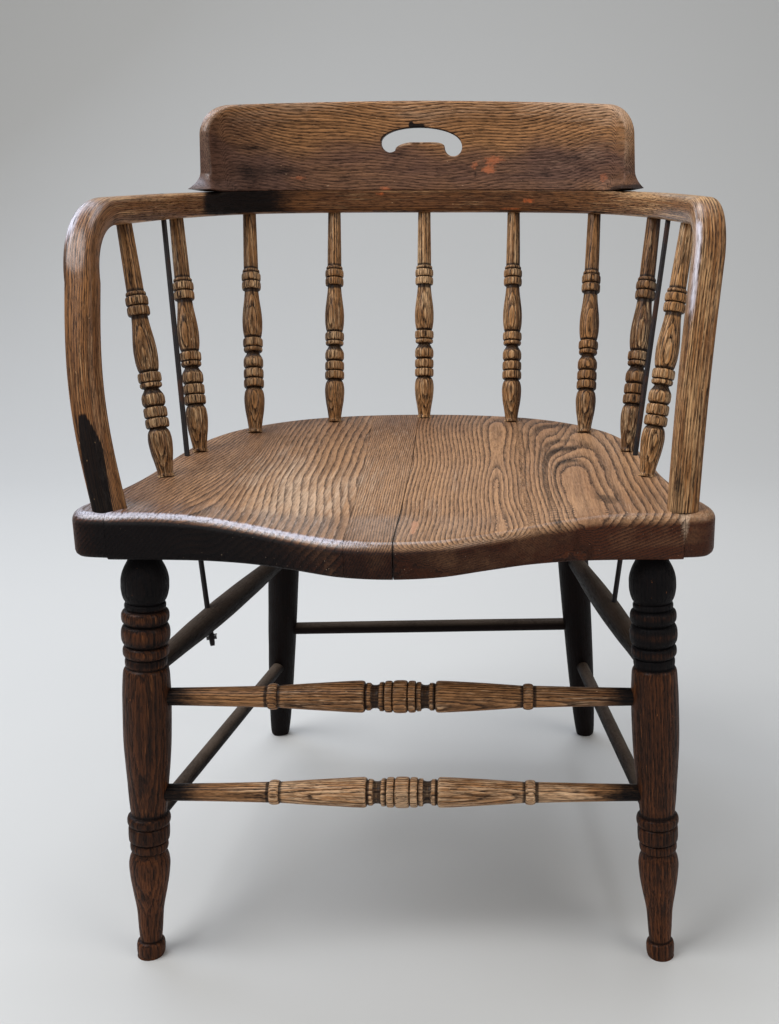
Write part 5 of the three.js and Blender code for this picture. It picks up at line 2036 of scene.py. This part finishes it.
@dataclass
class StretcherSet:
    """Two turned front stretchers, four side stretchers and one back stretcher."""

    legs: LegSet
    front_heights: dict[str, float] = field(default_factory=lambda: {"upper": 261.5, "lower": 167.0})
    front_radii: dict[str, float] = field(default_factory=lambda: {"upper": 14.6, "lower": 14.0})
    front_half_runs: tuple[Run, ...] = (
        ((0, 0.56), (0.1, 0.58), (0.3, 0.635), (0.422, 0.68)),
        bead(0.424, 0.47, 0.68, 0.82, 2.4),
        ((0.472, 0.69), (0.6, 0.82), (0.74, 0.94), (0.8, 0.985), (0.832, 1), (0.843, 0.96),
         (0.848, 0.84)),
        bead(0.851, 0.874, 0.78, 0.87),
        ((0.874, 0.79), (0.884, 0.73), (0.897, 0.73), (0.908, 0.79)),
        bead(0.909, 0.931, 0.81, 0.92),
        bead(0.933, 0.966, 0.87, 1.0),
    )
    side_upper_heights: dict[Side, Knot] = field(
        default_factory=lambda: {Side.LEFT: (285.0, 275.0), Side.RIGHT: (285.0, 273.0)})
    side_upper_radius: float = 12.3
    side_upper_runs: tuple[Run, ...] = (
        ((0, 0.74), (0.12, 0.8), (0.3, 0.94), (0.48, 1), (0.7, 0.94), (0.88, 0.82), (1, 0.76)),)
    side_lower_heights: dict[Side, Knot] = field(
        default_factory=lambda: {Side.LEFT: (135.0, 115.0), Side.RIGHT: (133.0, 117.0)})
    side_lower_radius: float = 7.6
    back_heights: Knot = (169.5, 177.0)
    back_radius: float = 7.7
    plain_runs: tuple[Run, ...] = (((0, 0.97), (0.5, 1), (1, 0.97)),)
    front_overrun: Knot = (9.0, 9.0)
    plain_overrun: Knot = (8.0, 8.0)
    front_reach: float = 245.0
    front_shades: Knot = (0.25, 0.05)
    front_wears: Knot = (0.22, 0.5)
    plain_shade: float = 0.35
    plain_pith: Knot = (30.0, 5.0)

    @staticmethod
    def _rail(start: Array, end: Array, radii: Knot) -> tuple[Array, Array]:
        """Return both shoulders of a stretcher between two points of leg axes."""
        along = unit(end - start)
        return start + along * radii[0], end - along * radii[1]

    def side_line(self, side: Side, heights: Knot) -> tuple[Array, Array]:
        """Return both shoulders of a side stretcher."""
        front, back = self.legs.front(side).at(heights[0]), self.legs.back(side).at(heights[1])
        return self._rail(front, back, (self.legs.front_radius, self.legs.back_radius))

    def build(self, workshop: Workshop) -> None:
        """Build the seven stretchers.

        Args:
            workshop: Where they are made.
        """
        half = halved(self.front_half_runs)
        runs = (*half, bead(0.4845, 0.5155, 0.9, 1.03), *mirrored_runs(half))
        for number, (level, height) in enumerate(self.front_heights.items()):
            ends = [self.legs.front(side).at(height) for side in Side]
            start, end = self._rail(*ends, (self.legs.front_radius,) * 2)
            turning = Turning(
                runs, self.front_radii[level], sides=40, ring_width=2.4, pith=(26.0, 3.0), step=1.8)
            turn = 2.9 + 0.5 * number
            shape = turning.shape(start, end, 31 + number, turn=turn, overrun=self.front_overrun)
            place = np.abs(shape.points[:, 0]) / self.front_reach
            marks = shape.marks
            marks[Mark.SHADE] = self.front_shades[number] + 0.45 * smooth(place, 0.55, 0.95)
            marks[Mark.GROOVE] = marks[Mark.GROOVE] * 1.1
            marks[Mark.SOOT] = 0.75 * smooth(place, 0.68, 0.86)
            wear = self.front_wears[number] * (1 - smooth(place, 0.6, 0.9))
            marks[Mark.WORN] = marks[Mark.WORN] + wear
            node = f"front_stretcher_{level}"
            workshop.add(f"fine_{node}", shape, STRETCHER_FINISH, node)
        upper = Turning(
            self.side_upper_runs, self.side_upper_radius, sides=32, step=4.0, pith=self.plain_pith)
        lower = Turning(self.plain_runs, self.side_lower_radius, sides=24, step=5.0, pith=self.plain_pith)
        for number, side in enumerate(Side):
            for level, turning, heights, seed in (
                ("upper", upper, self.side_upper_heights, 41),
                ("lower", lower, self.side_lower_heights, 51),
            ):
                line = self.side_line(side, heights[side])
                self._plain(workshop, f"side_stretcher_{level}_{side.word}", line, turning, seed + number)
        ends = [self.legs.back(side).at(height) for side, height in zip(Side, self.back_heights)]
        back = self._rail(*ends, (self.legs.back_radius,) * 2)
        turning = Turning(self.plain_runs, self.back_radius, sides=24, step=5.0, pith=self.plain_pith)
        self._plain(workshop, "back_stretcher", back, turning, 61)

    def _plain(self, workshop: Workshop, node: str, line: tuple[Array, Array], turning: Turning,
               seed: int) -> None:
        """Build one of the dark stretchers.

        Args:
            workshop: Where it is made.
            node: The solid that it stands for.
            line: Both of its shoulders.
            turning: What it is turned to.
            seed: Seed of its irregularities.
        """
        shape = turning.shape(*line, seed, turn=seed * 0.7, overrun=self.plain_overrun)
        shape.marks[Mark.SHADE] = np.full(len(shape.points), self.plain_shade)
        workshop.add(f"fine_{node}", shape, DARK_FINISH, node)


# -------------------------------------------------------------------------------------------------
# Iron


@dataclass
class TieRods:
    """The two iron rods from the bow through the seat to the upper side stretchers."""

    seat: Seat
    bow: ArmBow
    stretchers: StretcherSet
    radius: float = 2.7
    bow_share: dict[Side, float] = field(default_factory=lambda: {Side.LEFT: 0.79, Side.RIGHT: 0.849})
    seat_shares: dict[Side, Knot] = field(
        default_factory=lambda: {Side.LEFT: (0.834, 0.551), Side.RIGHT: (0.825, 0.555)})
    stretcher_share: dict[Side, float] = field(
        default_factory=lambda: {Side.LEFT: 0.369, Side.RIGHT: 0.434})
    tail: dict[Side, float] = field(default_factory=lambda: {Side.LEFT: 27.0, Side.RIGHT: 6.0})
    head_radius: float = 5.0
    head_depths: Place = (0.9, 1.3, 1.8)
    head_step: float = 0.05
    end_share: float = 0.8
    upper_rings: int = 60
    lower_rings: int = 50
    sides: int = 18

    def _line(self, side: Side) -> tuple[Array, Array, Array]:
        """Lay out a rod.

        Args:
            side: The rod's side.

        Returns:
            Its head, its bend under the seat and its end.
        """
        line = self.bow.line()
        head = line.point(line.length * (1 + side.value * self.bow_share[side]) / 2)
        head = np.array((head[0], head[1], self.bow.top))
        through = self.seat.place(*self.seat_shares[side], self.seat.top) * (side.value, 1, 1)
        fall = through - head
        bend = through + fall * (self.seat.thickness / 2 / (self.bow.top - self.seat.top))
        shoulders = self.stretchers.side_line(side, self.stretchers.side_upper_heights[side])
        crossing = lerp(*shoulders, self.stretcher_share[side])
        return head, bend, crossing + unit(crossing - bend) * self.tail[side]

    def _rod(self, side: Side) -> Shape:
        """Shape a rod, with its wider head let into the bow.

        Args:
            side: The rod's side.

        Returns:
            The rod.
        """
        head, bend, end = self._line(side)
        upper, lower = (
            np.linspace(head, bend, self.upper_rings), np.linspace(bend, end, self.lower_rings))
        centres = np.vstack((upper, lower[1:]))
        radii = np.full(len(centres), self.radius)
        down = unit(bend - head)
        centres[:3] = head + down * np.array(self.head_depths)[:, None]
        centres[3] = centres[2] + down * self.head_step
        radii[:3] = self.head_radius * self.end_share, self.head_radius, self.head_radius
        radii[-1] = self.radius * self.end_share
        along = units(np.gradient(centres, axis=0))
        right = units(np.cross(along, (0.0, 1.0, 0.0)))
        other = np.cross(along, right)
        angles = np.linspace(0, 2 * np.pi, self.sides, endpoint=False)[None, :, None]
        ring = np.cos(angles) * right[:, None] + np.sin(angles) * other[:, None]
        points = (centres[:, None] + radii[:, None, None] * ring).reshape(-1, 3)
        return Shape(points, skin(len(centres), self.sides), points)

    def build(self, workshop: Workshop) -> None:
        """Build the rods, and dress the nut and the washer.

        Args:
            workshop: Where they are made.
        """
        for side in Side:
            node = f"tie_rod_{side.word}"
            workshop.add(f"fine_{node}", self._rod(side), IRON_FINISH, node)
        for node in ("tie_rod_washer", "tie_rod_nut"):
            workshop.dress(node, IRON_FINISH)


@dataclass
class HiddenDowels:
    """The dowels inside the joints, which keep their solids."""

    names: tuple[str, ...] = (
        "seat_dowel_1", "seat_dowel_2", "seat_dowel_3", "ear_dowel_left_1", "ear_dowel_left_2",
        "ear_dowel_right_1", "ear_dowel_right_2", "arm_dowel_left", "arm_dowel_right",
        "crest_dowel_1", "crest_dowel_2", "crest_dowel_3", "crest_dowel_4",
    )

    def build(self, workshop: Workshop) -> None:
        """Dress the dowels."""
        for name in self.names:
            workshop.dress(name, DOWEL_FINISH)


# -------------------------------------------------------------------------------------------------
# Studio


@dataclass(frozen=True)
class Light:
    """A soft square light: where it hangs, the height that it points at, its size, power and colour."""

    name: str
    place: Place
    aim_height: float
    size: float
    power: float
    colour: Place

    def hang(self) -> None:
        """Add the light to the scene, pointed at the chair."""
        data = bpy.data.lights.new(self.name, "AREA")
        data.energy, data.size, data.color = self.power, self.size, self.colour
        light = bpy.data.objects.new(self.name, data)
        light.location = self.place
        aim = Vector((0.0, 0.0, self.aim_height)) - Vector(self.place)
        light.rotation_euler = aim.to_track_quat("-Z", "Y").to_euler()
        bpy.context.scene.collection.objects.link(light)


@dataclass
class Studio:
    """The camera, the soft lights and the plain pale floor with its backdrop."""

    camera_place: Place = (94.914, -1219.497, 726.948)
    yaw: float = 0.00543808
    pitch: float = 0.27972911
    roll: float = -0.00181994
    lens: float = 42.1875
    sensor: float = 36.0
    shift: float = -0.10329
    nearest: float = 0.05
    floor_half: float = 4.5
    wall_at: float = 3.2
    wall_radius: float = 1.6
    wall_height: float = 4.5
    wall_steps: int = 12
    world_strength: float = 0.3
    lights: tuple[Light, ...] = (
        Light("window", (-1.5, -0.85, 2.5), 0.5, 1.7, 56.0, (0.95, 0.97, 1.0)),
        Light("fill", (2.1, -1.3, 1.8), 0.4, 1.6, 18.0, (1.0, 0.98, 0.95)),
        Light("top", (0.0, 0.7, 2.6), 0.4, 1.4, 25.0, (0.87, 0.92, 1.0)),
        Light("sky", (-1.7, 1.5, 2.1), 0.5, 1.5, 20.0, (0.72, 0.82, 1.0)),
    )

    def _camera(self) -> None:
        """Set up the camera at the photograph's angle."""
        right = Vector((math.cos(self.yaw), math.sin(self.yaw), 0))
        forward = Vector((
            -math.sin(self.yaw) * math.cos(self.pitch), math.cos(self.yaw) * math.cos(self.pitch),
            -math.sin(self.pitch),
        ))
        upward = right.cross(forward)
        turned_right = right * math.cos(self.roll) + upward * math.sin(self.roll)
        turned_up = upward * math.cos(self.roll) - right * math.sin(self.roll)
        data = bpy.data.cameras.new("camera")
        data.sensor_width = self.sensor
        data.sensor_fit = "AUTO"
        data.lens = self.lens
        data.shift_x = self.shift
        data.clip_start = self.nearest
        camera = bpy.data.objects.new("camera", data)
        basis = Matrix((turned_right, turned_up, -forward)).transposed().to_4x4()
        basis.translation = Vector(self.camera_place) * MM
        camera.matrix_world = basis
        bpy.context.scene.collection.objects.link(camera)
        bpy.context.scene.camera = camera

    def _sweep(self, workshop: Workshop) -> None:
        """Build the floor that curves up into the backdrop.

        Args:
            workshop: Where it is made.
        """
        start = self.wall_at - self.wall_radius
        profile = [(-self.floor_half, 0.0)]
        for angle in np.linspace(0, math.pi / 2, self.wall_steps + 1):
            profile.append(
                (start + self.wall_radius * math.sin(angle), self.wall_radius * (1 - math.cos(angle))))
        profile.append((self.wall_at, self.wall_height))
        points = [(x, y, z) for y, z in profile for x in (-self.floor_half, self.floor_half)]
        faces = [(2 * i, 2 * i + 1, 2 * i + 3, 2 * i + 2) for i in range(len(profile) - 1)]
        mesh = bpy.data.meshes.new("pale_floor")
        mesh.from_pydata(points, [], faces)
        mesh.polygons.foreach_set("use_smooth", [True] * len(mesh.polygons))
        mesh.materials.append(workshop.material(StageFinish()))
        floor = bpy.data.objects.new("pale_floor", mesh)
        bpy.context.scene.collection.objects.link(floor)

    def build(self, workshop: Workshop) -> None:
        """Set up camera, lights, world and floor.

        Args:
            workshop: Where the floor is made.
        """
        scene = bpy.context.scene
        scene.view_settings.view_transform = "Standard"
        world = bpy.data.worlds.new("soft_world")
        world.use_nodes = True
        background = world.node_tree.nodes["Background"]
        background.inputs["Color"].default_value = (1.0, 1.0, 1.0, 1.0)
        background.inputs["Strength"].default_value = self.world_strength
        scene.world = world
        self._camera()
        for light in self.lights:
            light.hang()
        self._sweep(workshop)


def main() -> None:
    """Build the chair and its studio in order."""
    logging.basicConfig(level=logging.INFO, format="%(name)s: %(message)s")
    workshop = Workshop()
    Studio().build(workshop)
    seat, bow, legs = Seat(), ArmBow(), LegSet()
    stretchers = StretcherSet(legs)
    assemblies = (
        seat, bow, CrestRail(bow), SpindleSet(seat, bow), legs, stretchers,
        TieRods(seat, bow, stretchers), HiddenDowels(),
    )
    for assembly in assemblies:
        assembly.build(workshop)
        LOG.info("%s done", type(assembly).__name__)


if __name__ == "__main__":
    main()
